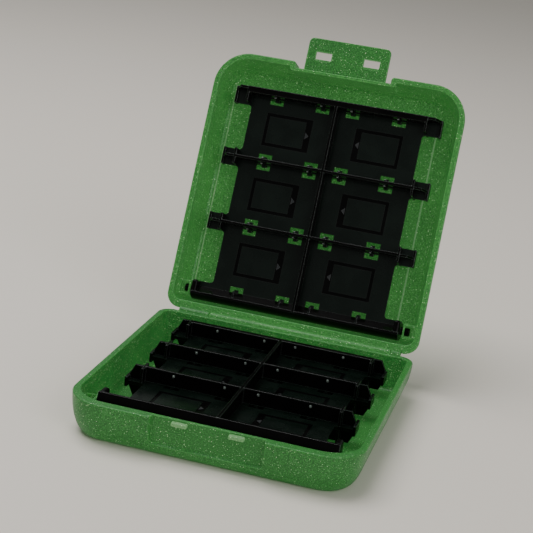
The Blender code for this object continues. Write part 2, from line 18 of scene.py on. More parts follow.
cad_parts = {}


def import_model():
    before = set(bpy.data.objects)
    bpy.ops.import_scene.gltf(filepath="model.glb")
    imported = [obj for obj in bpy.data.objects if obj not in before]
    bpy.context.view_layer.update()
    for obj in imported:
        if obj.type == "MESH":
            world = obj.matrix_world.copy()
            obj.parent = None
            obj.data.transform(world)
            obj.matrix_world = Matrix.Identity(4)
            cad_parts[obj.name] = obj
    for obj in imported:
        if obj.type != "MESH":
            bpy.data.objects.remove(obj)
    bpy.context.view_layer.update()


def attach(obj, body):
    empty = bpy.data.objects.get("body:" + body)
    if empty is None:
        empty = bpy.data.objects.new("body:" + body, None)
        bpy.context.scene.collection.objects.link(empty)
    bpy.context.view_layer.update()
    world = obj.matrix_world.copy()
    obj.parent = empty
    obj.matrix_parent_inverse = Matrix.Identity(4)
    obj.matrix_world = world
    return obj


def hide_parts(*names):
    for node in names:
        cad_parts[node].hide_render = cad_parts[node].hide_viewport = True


LOG = logging.getLogger("card_case")

Point = tuple[float, float, float]
Flat = tuple[float, float]
Span = tuple[float, float]
Colour = tuple[float, float, float]
Values = dict[str | int, object]
Mesh = bmesh.types.BMesh
Item = bpy.types.Object
Material = bpy.types.Material
Node = bpy.types.Node
Tree = bpy.types.NodeTree
Socket = bpy.types.NodeSocket
Build = Callable[[Mesh], None]

ROD_SIDES = 40
SHARP_DEGREES = 38
BOTH_WAYS = (-1, 1)


class Join(Enum):
    """How one solid meets another."""

    UNITE = "UNION"
    CUT = "DIFFERENCE"


class Side(Enum):
    """The two halves of the case, by the way they reach from the rim plane."""

    BASE = -1
    LID = 1


class Area(Enum):
    """The parts of a tray's surface, by the number of the finish that each takes."""

    WALL = 0
    FLOOR = 1
    GROOVE = 2
    NUB_END = 3


@dataclass(frozen=True)
class Rounding:
    """How sharp edges are rounded: how far, in how many steps, and from how many degrees of turn on."""

    width: float
    segments: int = 2
    degrees: float = 30


def around(middle: float, half: float) -> Span:
    """Returns the span that reaches equally far both ways from a middle."""
    return middle - half, middle + half


def between(first: float, second: float) -> Span:
    """Returns the span between two values, whichever of them is higher."""
    return min(first, second), max(first, second)


def quarter(steps: int, start: float = 0) -> list[float]:
    """Returns the angles of a quarter turn in some steps, from a start in degrees."""
    return [math.radians(start + 90 * step / steps) for step in range(steps + 1)]


def arc(x: float, y: float, radius: float, start: float, steps: int) -> list[Flat]:
    """Returns the points of a quarter circle about a middle, from a start in degrees."""
    return [(x + radius * math.cos(angle), y + radius * math.sin(angle)) for angle in quarter(steps, start)]


def rounded(radius: float, steps: int) -> list[Flat]:
    """Returns how far the points of a rounded corner lie from its two sides, along the corner."""
    return [(radius * (1 - math.sin(angle)), radius * (1 - math.cos(angle))) for angle in quarter(steps)]


def mirrored(right: list[Flat]) -> list[Flat]:
    """Returns the outline that a right half and its mirror image make."""
    return right + [(-x, y) for x, y in reversed(right)]


def make(name: str, build: Build, rounding: Rounding | None = None) -> Item:
    """Makes an object from a function that fills in its mesh.

    Args:
        name: The object's name.
        build: The function that adds the shape.
        rounding: How its sharp edges are rounded, if they are.

    Returns:
        The new object.
    """
    shape = bmesh.new()
    build(shape)
    bmesh.ops.recalc_face_normals(shape, faces=shape.faces)
    mesh = bpy.data.meshes.new(name)
    shape.to_mesh(mesh)
    shape.free()
    item = bpy.data.objects.new(name, mesh)
    bpy.context.scene.collection.objects.link(item)
    if rounding:
        soften(item, rounding)
    return item


def soften(item: Item, rounding: Rounding) -> None:
    """Rounds an object's sharp edges.

    Args:
        item: The object.
        rounding: How they are rounded.
    """
    shape = bmesh.new()
    shape.from_mesh(item.data)
    least = math.radians(rounding.degrees)
    edges = [edge for edge in shape.edges if edge.is_manifold and edge.calc_face_angle() > least]
    sizes = {"offset": rounding.width, "segments": rounding.segments, "profile": 0.5}
    bmesh.ops.bevel(shape, geom=edges, affect="EDGES", clamp_overlap=True, **sizes)
    bmesh.ops.recalc_face_normals(shape, faces=shape.faces)
    shape.to_mesh(item.data)
    shape.free()


def combine(target: Item, join: Join, *tools: Item) -> None:
    """Joins tools to an object, or cuts them from it, and takes the tools away.

    Args:
        target: The object that stays.
        join: Whether the tools are added or cut away.
        tools: The other objects.
    """
    for tool in tools:
        modifier = target.modifiers.new(tool.name, "BOOLEAN")
        modifier.object = tool
        modifier.operation = join.value
        modifier.solver = "EXACT"
    bpy.context.view_layer.update()
    graph = bpy.context.evaluated_depsgraph_get()
    mesh = bpy.data.meshes.new_from_object(target.evaluated_get(graph))
    old = target.data
    target.modifiers.clear()
    target.data = mesh
    mesh.name = target.name
    bpy.data.meshes.remove(old)
    for tool in tools:
        bpy.data.objects.remove(tool, do_unlink=True)


def dress(item: Item, *finishes: Material) -> None:
    """Gives an object its finishes, in place of all others.

    Args:
        item: The object.
        finishes: The finishes, in the order of their numbers.
    """
    item.data.materials.clear()
    for finish in finishes:
        item.data.materials.append(finish)


def smooth(item: Item) -> None:
    """Shades an object smooth except at its sharp edges.

    Args:
        item: The object.
    """
    item.data.shade_smooth()
    item.data.set_sharp_from_angle(angle=math.radians(SHARP_DEGREES))
    weighted = item.modifiers.new("even_shading", "WEIGHTED_NORMAL")
    weighted.keep_sharp = True


def loft(shape: Mesh, rings: Sequence[Sequence[Point]], closed: bool = False) -> None:
    """Adds a solid through rings of points with the same count.

    Args:
        shape: The mesh to add to.
        rings: The rings, from one end to the other.
        closed: Whether the last ring meets the first again, in place of a cap at both ends.
    """
    loops = [[shape.verts.new(point) for point in ring] for ring in rings]
    count = len(loops[0])
    for low, high in zip(loops, loops[1:] + loops[:1] if closed else loops[1:]):
        for index in range(count):
            following = (index + 1) % count
            shape.faces.new((low[index], low[following], high[following], high[index]))
    if not closed:
        shape.faces.new(list(reversed(loops[0])))
        shape.faces.new(loops[-1])


def prism(shape: Mesh, outline: Sequence[Flat], z_span: Span) -> None:
    """Adds a flat outline raised between two heights."""
    loft(shape, [[(x, y, z) for x, y in outline] for z in z_span])


def block(shape: Mesh, x_span: Span, y_span: Span, z_span: Span) -> None:
    """Adds a box between the lowest and highest x, y and z."""
    (left, right), (near, far) = x_span, y_span
    prism(shape, [(left, near), (right, near), (right, far), (left, far)], z_span)


def frame(shape: Mesh, outer: tuple[Span, Span], inner: tuple[Span, Span], z_span: Span) -> None:
    """Adds a rectangular ring with a rectangular hole.

    Args:
        shape: The mesh to add to.
        outer: The outer rectangle's spans in x and y.
        inner: The same for the hole.
        z_span: The lowest and highest z.
    """
    low, high = z_span
    rows = []
    for ((left, right), (near, far)), z in ((outer, low), (outer, high), (inner, high), (inner, low)):
        rows.append([(left, near, z), (right, near, z), (right, far, z), (left, far, z)])
    loft(shape, rows, closed=True)


def rod(shape: Mesh, x_span: Span, centre: Flat, radius: float, chamfer: float = 0) -> None:
    """Adds a round rod along X.

    Args:
        shape: The mesh to add to.
        x_span: The rod's two ends.
        centre: Its y and z.
        radius: Its radius.
        chamfer: How far its two ends are drawn in.
    """
    left, right = x_span
    stations = [(left, radius), (right, radius)]
    if chamfer:
        tip = radius - chamfer
        stations = [(left, tip), (left + chamfer, radius), (right - chamfer, radius), (right, tip)]
    y, z = centre
    angles = [2 * math.pi * step / ROD_SIDES for step in range(ROD_SIDES)]
    rings = []
    for x, reach in stations:
        rings.append([(x, y + reach * math.cos(angle), z + reach * math.sin(angle)) for angle in angles])
    loft(shape, rings)


class NodeDesk:
    """Adds and links the nodes of one shader tree."""

    def __init__(self, tree: Tree) -> None:
        """Keeps the tree."""
        self.tree = tree

    def feed(self, node: Node, values: Values) -> None:
        """Sets or links some of a node's inputs.

        Args:
            node: The node.
            values: Values or links for its inputs, by name or number.
        """
        for key, value in values.items():
            if isinstance(value, Socket):
                self.tree.links.new(value, node.inputs[key])
            else:
                node.inputs[key].default_value = value

    def add(self, kind: str, values: Values | None = None, **settings: object) -> Node:
        """Adds a node.

        Args:
            kind: The node's type name.
            values: Values or links for its inputs, by name or number.
            settings: The node's own settings.

        Returns:
            The new node.
        """
        node = self.tree.nodes.new(kind)
        for name, value in settings.items():
            setattr(node, name, value)
        self.feed(node, values or {})
        return node

    def group(self, tree: Tree, values: Values | None = None) -> Node:
        """Adds a shared node group with values for its inputs."""
        return self.add("ShaderNodeGroup", values, node_tree=tree)

    def maths(self, operation: str, first: object, second: object) -> Socket:
        """Adds a Math node and returns its value."""
        return self.add("ShaderNodeMath", {0: first, 1: second}, operation=operation).outputs[0]

    def ramp(self, value: Socket, source: tuple[object, object], target: Span = (0.0, 1.0)) -> Socket:
        """Maps a value from one span to another, held at both ends.

        Args:
            value: The value.
            source: The span it comes in, as values or links.
            target: The span it goes out with.

        Returns:
            The mapped value's socket.
        """
        values = {"Value": value, "From Min": source[0], "From Max": source[1]}
        values |= {"To Min": target[0], "To Max": target[1]}
        return self.add("ShaderNodeMapRange", values, interpolation_type="SMOOTHSTEP").outputs[0]

    def layer(self, first: Colour, layers: Sequence[tuple[Socket, Colour]]) -> Socket:
        """Lays colours over a first one.

        Args:
            first: The lowest colour.
            layers: Each colour above it, after the share of it that shows.

        Returns:
            The mixed colour's socket.
        """
        colour: object = (*first, 1)
        for share, above in layers:
            node = self.add("ShaderNodeMix", {0: share, 6: colour, 7: (*above, 1)}, data_type="RGBA")
            colour = node.outputs[2]
        return colour


@dataclass
class Effects:
    """The node groups that several finishes share, each built once."""

    fleck_core: float = 0.5
    shine_source: Span = (0.1, 0.9)
    shine: Span = (0.15, 1.0)
    fine_detail: float = 3.0
    slow_detail: float = 4.0
    cloud_source: Span = (0.3, 0.7)
    edge_samples: int = 4
    edge_source: Span = (0.99, 0.92)

    def __post_init__(self) -> None:
        """Builds the groups."""
        self.glitter = self.build_glitter()
        self.grain = self.build_grain()
        self.edges = self.build_edges()

    @staticmethod
    def start(name: str, inputs: dict[str, float], outputs: Sequence[str]) -> tuple[NodeDesk, Node, Node]:
        """Starts a node group with its sockets.

        Args:
            name: The group's name.
            inputs: The input names with their first values.
            outputs: The output names.

        Returns:
            The desk for its tree, its input node and its output node.
        """
        tree = bpy.data.node_groups.new(name, "ShaderNodeTree")
        kind = "NodeSocketFloat"
        for label, value in inputs.items():
            tree.interface.new_socket(label, in_out="INPUT", socket_type=kind).default_value = value
        for label in outputs:
            tree.interface.new_socket(label, in_out="OUTPUT", socket_type=kind)
        desk = NodeDesk(tree)
        return desk, desk.add("NodeGroupInput"), desk.add("NodeGroupOutput")

    def build_glitter(self) -> Tree:
        """Builds the flecks: small round spots at random depths, each with its own brightness.

        Returns:
            The group, with the spots' mask and their shine.
        """
        desk, given, result = self.start("glitter", {"Scale": 1000.0, "Reach": 0.2}, ("Mask", "Shine"))
        place = desk.add("ShaderNodeTexCoord").outputs["Object"]
        cells = desk.add("ShaderNodeTexVoronoi", {"Vector": place, "Scale": given.outputs["Scale"]})
        outer = given.outputs["Reach"]
        inner = desk.maths("MULTIPLY", outer, self.fleck_core)
        spot = desk.ramp(cells.outputs["Distance"], (outer, inner))
        shade = desk.add("ShaderNodeSeparateColor", {"Color": cells.outputs["Color"]})
        shine = desk.ramp(shade.outputs["Red"], self.shine_source, self.shine)
        desk.feed(result, {"Mask": spot, "Shine": shine})
        return desk.tree

    def build_grain(self) -> Tree:
        """Builds the fine moulded grain and the slow cloudiness of the plastic.

        Returns:
            The group, with the grain's height and the cloud's mask.
        """
        scales = {"Fine": 2500.0, "Slow": 60.0}
        desk, given, result = self.start("moulded_grain", scales, ("Height", "Cloud"))
        place = desk.add("ShaderNodeTexCoord").outputs["Object"]
        noises = []
        for name, detail in (("Fine", self.fine_detail), ("Slow", self.slow_detail)):
            values = {"Vector": place, "Scale": given.outputs[name], "Detail": detail}
            noises.append(desk.add("ShaderNodeTexNoise", values).outputs["Fac"])
        desk.feed(result, {"Height": noises[0], "Cloud": desk.ramp(noises[1], self.cloud_source)})
        return desk.tree

    def build_edges(self) -> Tree:
        """Builds the mask of a piece's edges, where the finishes lay a painted highlight and, on the blacks,
        a glossy coat.

        Returns:
            The group, with the edges' mask.
        """
        desk, given, result = self.start("edge_highlight_mask", {"Width": 0.0004}, ("Mask",))
        bevel = desk.add("ShaderNodeBevel", {"Radius": given.outputs["Width"]}, samples=self.edge_samples)
        flat = desk.add("ShaderNodeNewGeometry").outputs["True Normal"]
        turn = desk.add("ShaderNodeVectorMath", {0: bevel.outputs[0], 1: flat}, operation="DOT_PRODUCT")
        desk.feed(result, {"Mask": desk.ramp(turn.outputs["Value"], self.edge_source)})
        return desk.tree


@dataclass(frozen=True)
class Finish:
    """A finish of the case, which its own inputs for the shader make."""

    name: str

    def inputs(self, desk: NodeDesk, effects: Effects) -> Values:
        """Returns the shader's inputs, which each finish works out for itself."""
        raise NotImplementedError

    def build(self, effects: Effects) -> Material:
        """Builds the finish.

        Args:
            effects: The shared node groups.

        Returns:
            The new material.
        """
        material = bpy.data.materials.new(self.name)
        material.use_nodes = True
        desk = NodeDesk(material.node_tree)
        desk.feed(material.node_tree.nodes["Principled BSDF"], self.inputs(desk, effects))
        return material


@dataclass(frozen=True)
class GlitterGreen(Finish):
    """The base's translucent green, mottled and cloudy, with flecks and dust; painted shade where it turns
    away, a painted highlight on its edges and a painted glow.
    """

    name: str = "glitter_green"
    body: Colour = (0.0270, 0.152, 0.0280)
    shade: Colour = (0.0100, 0.082, 0.0130)
    deep: Colour = (0.0060, 0.064, 0.0100)
    mottle: Span = (0.40, 0.60)
    cloud_share: float = 0.25
    # The next three sizes darken the green where its surface turns from the camera: painted shade.
    painted_rim_shade_blend: float = 0.5
    painted_rim_shade_source: Span = (0.55, 0.95)
    painted_rim_shade_share: Span = (0.0, 0.6)
    # The edge colour and its share: a pale painted highlight along the edges.
    edge: Colour = (0.110, 0.290, 0.105)
    edge_highlight_share: float = 0.22
    fleck: Colour = (0.62, 0.84, 0.50)
    fleck_scale: float = 1350.0
    fleck_reach: float = 0.165
    fleck_height: float = 0.6
    dust_scale: float = 2300.0
    dust_reach: float = 0.2
    dust_share: float = 0.5
    roughness: Span = (0.36, 0.46)
    specular: float = 0.32
    bump: float = 0.12
    bump_depth: float = 0.0001
    # The emission strength: a painted glow that stands in for light coming through the plastic.
    painted_glow: float = 0.62
    glow: float = 0.6
    glow_depth: float = 0.003
    glow_reach: Colour = (0.8, 1.0, 0.6)

    def inputs(self, desk: NodeDesk, effects: Effects) -> Values:
        """Returns the shader's inputs.

        Args:
            desk: The desk for the material's nodes.
            effects: The shared node groups.

        Returns:
            The values or links, by the input's name.
        """
        grain = desk.group(effects.grain).outputs
        edges = desk.group(effects.edges).outputs
        flecks = desk.group(effects.glitter, {"Scale": self.fleck_scale, "Reach": self.fleck_reach}).outputs
        dust = desk.group(effects.glitter, {"Scale": self.dust_scale, "Reach": self.dust_reach}).outputs
        painted_rim_shade = desk.add("ShaderNodeLayerWeight", {"Blend": self.painted_rim_shade_blend}).outputs["Facing"]
        small = desk.maths("MULTIPLY", dust["Mask"], dust["Shine"])
        layers = (
            (desk.ramp(grain["Height"], self.mottle), self.body),
            (desk.maths("MULTIPLY", grain["Cloud"], self.cloud_share), self.deep),
            # Painted shade: darker where the surface turns from the camera.
            (desk.ramp(painted_rim_shade, self.painted_rim_shade_source, self.painted_rim_shade_share), self.deep),
            # Painted highlight: a pale green along the edges.
            (desk.maths("MULTIPLY", edges["Mask"], self.edge_highlight_share), self.edge),
            (desk.maths("MULTIPLY", small, self.dust_share), self.fleck),
            (desk.maths("MULTIPLY", flecks["Mask"], flecks["Shine"]), self.fleck),
        )
        colour = desk.layer(self.shade, layers)
        raised = desk.maths("MULTIPLY", flecks["Mask"], self.fleck_height)
        height = desk.maths("ADD", grain["Height"], raised)
        relief = {"Strength": self.bump, "Distance": self.bump_depth, "Height": height}
        return {
            "Base Color": colour,
            # The green glows in its own colour: painted light, not a lamp.
            "Emission Color": colour,
            "Emission Strength": self.painted_glow,
            "Roughness": desk.ramp(grain["Cloud"], (0, 1), self.roughness),
            "Normal": desk.add("ShaderNodeBump", relief).outputs["Normal"],
            "Subsurface Weight": self.glow,
            "Subsurface Radius": self.glow_reach,
            "Subsurface Scale": self.glow_depth,
            "Specular IOR Level": self.specular,
        }


@dataclass(frozen=True)
class LidGreen(GlitterGreen):
    """The lid's green, lighter and with a stronger painted glow: painted light for the light that comes
    through it.
    """

    name: str = "lid_green"
    # Lighter than the base's green, as painted light.
    body: Colour = (0.0370, 0.172, 0.0340)
    shade: Colour = (0.0150, 0.096, 0.0170)
    painted_glow: float = 0.82


@dataclass(frozen=True)
class FlapGreen(GlitterGreen):
    """The flap's green, with a stronger painted highlight on its edges."""

    name: str = "flap_green"
    edge_highlight_share: float = 0.7


@dataclass(frozen=True)
class PaleGreen(GlitterGreen):
    """The pale green of the catches, and of the lid's ribs, where it is a painted highlight."""

    name: str = "pale_green"
    # Pale green: plain on the catches, a painted highlight on the lid's ribs.
    body: Colour = (0.13, 0.26, 0.11)
    shade: Colour = (0.08, 0.19, 0.075)
    deep: Colour = (0.05, 0.14, 0.05)


@dataclass(frozen=True)
class GlossBlack(Finish):
    """The glossy black of the trays' walls, with a glossy coat and a painted highlight on its edges."""

    name: str = "tray_gloss_black"
    body: Colour = (0.0030, 0.0026, 0.0026)
    shade: Colour = (0.0018, 0.0016, 0.0016)
    # The edge colour and its share: a painted highlight along the edges, under the glossy coat there.
    edge: Colour = (0.090, 0.120, 0.105)
    edge_highlight_share: float = 0.6
    edge_width: float = 0.0002
    edge_roughness: float = 0.2
    cloud_scale: float = 140.0
    roughness: Span = (0.16, 0.26)
    specular: float = 0.07
    bump: float = 0.05
    bump_depth: float = 0.0001

    def inputs(self, desk: NodeDesk, effects: Effects) -> Values:
        """Returns the shader's inputs.

        Args:
            desk: The desk for the material's nodes.
            effects: The shared node groups.

        Returns:
            The values or links, by the input's name.
        """
        grain = desk.group(effects.grain, {"Slow": self.cloud_scale}).outputs
        edges = desk.group(effects.edges, {"Width": self.edge_width}).outputs
        # A painted highlight along the edges, laid into the colour.
        painted_highlight = desk.maths("MULTIPLY", edges["Mask"], self.edge_highlight_share)
        relief = {"Strength": self.bump, "Distance": self.bump_depth, "Height": grain["Height"]}
        return {
            "Base Color": desk.layer(self.shade, ((grain["Cloud"], self.body), (painted_highlight, self.edge))),
            "Roughness": desk.ramp(grain["Cloud"], (0, 1), self.roughness),
            "Normal": desk.add("ShaderNodeBump", relief).outputs["Normal"],
            "Coat Weight": edges["Mask"],
            "Coat Roughness": self.edge_roughness,
            "Specular IOR Level": self.specular,
        }


@dataclass(frozen=True)
class SatinBlack(GlossBlack):
    """The satin of the pockets' floors, tinted green as painted light from the green shells round it."""

    name: str = "tray_satin_black"
    # The green tint is painted light from the shells; the edge colour is a faint painted highlight.
    body: Colour = (0.0026, 0.0064, 0.0042)
    shade: Colour = (0.0018, 0.0046, 0.0030)
    edge: Colour = (0.0060, 0.0090, 0.0070)
    roughness: Span = (0.22, 0.30)
    specular: float = 0.28
    bump: float = 0.15


@dataclass(frozen=True)
class GrooveBlack(GlossBlack):
    """The deep black of the ring grooves and the slots' sides, darker than the walls' black as painted shade
    in them.
    """

    name: str = "tray_groove_black"
    # Darker than the walls' black, as painted shade; the edge colour is a faint painted highlight.
    body: Colour = (0.0016, 0.0014, 0.0014)
    shade: Colour = (0.0010, 0.0009, 0.0009)
    edge: Colour = (0.0020, 0.0020, 0.0020)
    roughness: Span = (0.2, 0.3)
    specular: float = 0.12


@dataclass(frozen=True)
class ArrowGrey(GlossBlack):
    """The dull grey of the small arrows."""

    name: str = "arrow_grey"
    body: Colour = (0.030, 0.032, 0.034)
    shade: Colour = (0.024, 0.026, 0.028)
    # The edge colour is a painted highlight along the arrows' edges.
    edge: Colour = (0.06, 0.06, 0.06)
    roughness: Span = (0.4, 0.5)
    specular: float = 0.3
    bump: float = 0.1


@dataclass(frozen=True)
class NubPaintedGlint(GlossBlack):
    """A painted glint: bright grey on the nubs' outer ends, where their highlights would be."""

    name: str = "nub_tip_painted_glint"
    # The whole colour is a painted glint, bright where the nubs' ends would catch the light.
    body: Colour = (0.16, 0.19, 0.17)
    shade: Colour = (0.12, 0.14, 0.13)
    edge: Colour = (0.20, 0.24, 0.21)
    roughness: Span = (0.1, 0.2)
    specular: float = 0.6


@dataclass(frozen=True)
class CaseSizes:
    """The sizes that several sub-assemblies share, in metres."""

    width: float = 0.0904
    depth: float = 0.0934
    half_height: float = 0.0128
    rim_gap: float = 0.0003
    wall: float = 0.0020
    floor: float = 0.0012
    moving_gap: float = 0.0003
    hinge_behind: float = 0.0010
    hinge_below: float = 0.0005
    open_degrees: float = 112
    recess_half: float = 0.0172
    recess_depth: float = 0.0023
    slot_centre_x: float = 0.0087
    slot_half: float = 0.0029
    catch_top: float = 0.0006
    catch_height: float = 0.0012
    tray_front_margin: float = 0.0137
    tray_rear_margin: float = 0.0085
    tray_end_margin: float = 0.0077
    tray_seat: float = 0.0004
    tip_gap: float = 0.0004
    line_shift: float = 0.0007
    pin_offset: float = 0.00145
    pin_radius: float = 0.0014
    pin_length: float = 0.0032
    rows: int = 3

    @property
    def front(self) -> float:
        """The front side's y."""
        return -self.depth / 2

    @property
    def hinge(self) -> Flat:
        """The hinge line's y and z."""
        return self.depth / 2 + self.hinge_behind, self.half_height - self.hinge_below

    @property
    def slots(self) -> Span:
        """The x of the middles of the flap's two slots, and so of the two catches."""
        return -self.slot_centre_x, self.slot_centre_x

    @property
    def cavity_depth(self) -> float:
        """How deep a shell is inside."""
        return self.half_height - self.floor

    @property
    def pitch(self) -> float:
        """The distance from one row of pockets to the next."""
        return (self.depth - self.tray_front_margin - self.tray_rear_margin) / self.rows

    @property
    def tray_centre(self) -> float:
        """The y of both trays' middle."""
        return self.front + self.tray_front_margin + self.rows / 2 * self.pitch

    @property
    def tray_high(self) -> float:
        """Half a tray's height."""
        return (self.cavity_depth - self.tray_seat - self.tip_gap) / 2

    @property
    def tray_depth(self) -> float:
        """How far a tray's middle plane is below the rim."""
        return self.tip_gap + self.tray_high

    @property
    def tab_x(self) -> float:
        """A tray's end."""
        return self.width / 2 - self.tray_end_margin

    @property
    def pin_end(self) -> float:
        """A pivot pin's end."""
        return self.tab_x + self.pin_length

    @property
    def pivot(self) -> float:
        """The pivot pins' distance from a tray's middle."""
        return self.rows / 2 * self.pitch - self.line_shift + self.pin_offset

    @property
    def opened(self) -> Matrix:
        """The turn that opens the lid about the hinge line."""
        axis = Vector((0, *self.hinge))
        turn = Matrix.Rotation(-math.radians(self.open_degrees), 4, "X")
        return Matrix.Translation(axis) @ turn @ Matrix.Translation(-axis)

    def rim(self, side: Side) -> float:
        """Returns the height of a half's rim plane, with the case closed."""
        return self.half_height + (self.rim_gap if side is Side.LID else 0)


@dataclass
class Shell:
    """One half of the casing: a drawn-in bowl with a rounded rim, a latch recess and two pivot sockets."""

    sizes: CaseSizes
    finish: Material
    pale: Material
    side: Side = Side.BASE
    front_extra: float = 0.0
    rear_extra: float = 0.0
    front_radius: float = 0.0122
    rear_radius: float = 0.0050
    side_draw_in: float = 0.0051
    rim_round: float = 0.00045
    rim_fillet: float = 0.00035
    fillet_middle: float = 0.3
    cavity_round: float = 0.0016
    least_radius: float = 0.0004
    beyond: float = 0.0020
    recess_wall: float = 0.0012
    recess_mouth: float = 0.0012
    recess_drop: float = 0.0090
    recess_fade: float = 0.0009
    backing_round: float = 0.0012
    socket_gap: float = 0.0009
    socket_half: float = 0.0026
    socket_rise: float = 0.0023
    socket_face: float = 0.0006
    socket_pocket_end: float = 0.0016
    socket_pocket_half: float = 0.0019
    socket_root: float = 0.0016
    socket_round: Rounding = Rounding(0.0003)
    corner_steps: int = 14
    side_steps: int = 14
    wide_steps: int = 6
    small_steps: int = 4
    fillet_steps: int = 3

    def height(self, depth: float) -> float:
        """Returns the height of a depth below this half's rim."""
        return self.sizes.rim(self.side) + self.side.value * depth

    def heights(self, first: float, second: float) -> Span:
        """Returns the span of heights between two depths."""
        return between(self.height(first), self.height(second))

    def ring(self, outline: list[Flat], depth: float) -> list[Point]:
        """Returns an outline's points at the height of a depth."""
        return [(x, y, self.height(depth)) for x, y in outline]

    def outline(self, inset: float, front_more: float, rear_more: float) -> list[Flat]:
        """Returns the casing's outline drawn in by an inset.

        Args:
            inset: How far every side is drawn in.
            front_more: How much further the front side is.
            rear_more: How much further the rear side is.

        Returns:
            The outline's points in x and y.
        """
        edge = self.sizes.width / 2 - inset
        front, rear = self.sizes.front + inset + front_more, -self.sizes.front - inset - rear_more
        near = max(self.front_radius - inset, self.least_radius)
        far = max(self.rear_radius - inset, self.least_radius)
        corners = (
            (edge - near, front + near, near, -90),
            (edge - far, rear - far, far, 0),
            (-edge + far, rear - far, far, 90),
            (-edge + near, front + near, near, 180),
        )
        return [point for corner in corners for point in arc(*corner, self.corner_steps)]

    def drawn_in(self, depth: float) -> float:
        """Returns how far the side is drawn in at a depth, along a quarter of an ellipse."""
        return self.side_draw_in * (1 - math.sqrt(max(0, 1 - (depth / self.sizes.half_height) ** 2)))

    def outer_levels(self) -> list[Flat]:
        """Works out the outside, from the flat face over the rounded rim.

        Returns:
            The (depth, inset) pairs.
        """
        depths = [self.sizes.half_height * math.cos(angle) for angle in quarter(self.side_steps)]
        levels = [(depth, self.drawn_in(depth)) for depth in depths if depth > self.rim_round]
        return levels + rounded(self.rim_round, self.small_steps)

    def cavity_levels(self) -> list[Flat]:
        """Works out the inside, from the floor past the rim.

        Returns:
            The (depth, inset) pairs.
        """
        wall, foot = self.sizes.wall, self.sizes.cavity_depth - self.cavity_round
        levels = []
        for inward, up in rounded(self.cavity_round, self.wide_steps):
            levels.append((self.sizes.cavity_depth - up, wall + self.drawn_in(foot) + inward))
        for step in range(1, self.wide_steps):
            depth = foot * (1 - step / self.wide_steps)
            levels.append((depth, wall + self.drawn_in(depth)))
        for depth, outward in rounded(self.rim_fillet, self.fillet_steps):
            levels.append((depth, wall - outward))
        levels.append((-self.beyond, wall - self.rim_fillet))
        return levels

    def bowl(self, shape: Mesh, levels: list[Flat], front_more: float = 0, rear_more: float = 0) -> None:
        """Adds the solid through the outlines at (depth, inset) levels, with the front and rear drawn in."""
        outlines = [(depth, self.outline(inset, front_more, rear_more)) for depth, inset in levels]
        loft(shape, [self.ring(outline, depth) for depth, outline in outlines])

    def recess(self, shape: Mesh) -> None:
        """Adds the latch recess's space, flared at the rim and mouth, and fading out at the base's foot.

        Args:
            shape: The mesh to add to.
        """
        front, fillet, middle = self.sizes.front, self.rim_fillet, self.rim_fillet * self.fillet_middle
        levels = [(-self.beyond, fillet), (0, fillet), (middle, middle), (fillet, 0)]
        if self.side is Side.BASE:
            fade = rounded(self.recess_fade, self.small_steps)
            levels += [(self.recess_drop - up, -out) for up, out in fade]
        else:
            levels.append((self.sizes.half_height + self.beyond, 0))
        rings = []
        for depth, grow in levels:
            half, reach = self.sizes.recess_half + grow, self.sizes.recess_depth + grow
            right = [(half, front + reach)]
            for inward, out in rounded(self.recess_mouth, self.wide_steps):
                right.append((half + out, front + inward))
            right.append((half + self.recess_mouth, front - self.beyond))
            rings.append(self.ring(mirrored(right), depth))
        loft(shape, rings)

    def backing(self, shape: Mesh) -> None:
        """Adds the wall behind the recess, which the cavity leaves standing.

        Args:
            shape: The mesh to add to.
        """
        front, fillet, middle = self.sizes.front, self.rim_fillet, self.rim_fillet * self.fillet_middle
        levels = [(self.sizes.half_height + self.beyond, 0), (fillet, 0), (middle, middle), (0, fillet)]
        levels.append((-2 * self.beyond, fillet))
        rings = []
        for depth, shrink in levels:
            edge = self.sizes.recess_half + self.sizes.wall - shrink
            far = front + self.sizes.recess_depth + self.recess_wall - shrink
            right = [(edge, front - self.beyond)]
            for back, out in rounded(self.backing_round, self.small_steps):
                right.append((edge - out, far - back))
            rings.append(self.ring(mirrored(right), depth))
        loft(shape, rings)

    def body(self, name: str) -> Item:
        """Builds the hollow half with its recess.

        Args:
            name: The piece's name.

        Returns:
            The new object, with the case closed.
        """
        extras = (self.front_extra, self.rear_extra)
        body = make(name, lambda shape: self.bowl(shape, self.outer_levels()))
        hollow = make("hollow", lambda shape: self.bowl(shape, self.cavity_levels(), *extras))
        combine(hollow, Join.CUT, make("backing", self.backing))
        combine(body, Join.CUT, make("recess", self.recess), hollow)
        return body

    def add_sockets(self, body: Item, pivot_y: float) -> None:
        """Adds the two bored blocks that carry a tray's pivot pins.

        Args:
            body: The half to add them to.
            pivot_y: The pins' y.
        """
        middle = self.height(self.sizes.tray_depth)
        inner, outer = self.sizes.tab_x + self.socket_gap, self.sizes.width / 2 - self.socket_root

        def pair(shape: Mesh, near: float, far: float, y_span: Span, z_span: Span) -> None:
            """Adds a box on the right between two distances, and its mirror image."""
            block(shape, (near, far), y_span, z_span)
            block(shape, (-far, -near), y_span, z_span)

        def blocks(shape: Mesh) -> None:
            """Adds the blocks."""
            pair(shape, inner, outer, around(pivot_y, self.socket_half), around(middle, self.socket_rise))

        def bores(shape: Mesh) -> None:
            """Adds the bores' space."""
            near, far = inner - self.beyond, self.sizes.pin_end + self.sizes.moving_gap
            for x_span in ((near, far), (-far, -near)):
                rod(shape, x_span, (pivot_y, middle), self.sizes.pin_radius + self.sizes.moving_gap)

        def pockets(shape: Mesh) -> None:
            """Adds the open pockets' space."""
            z_span = between(middle, middle - self.side.value * (self.socket_rise + self.beyond))
            near, far = inner + self.socket_face, outer - self.socket_pocket_end
            pair(shape, near, far, around(pivot_y, self.socket_pocket_half), z_span)

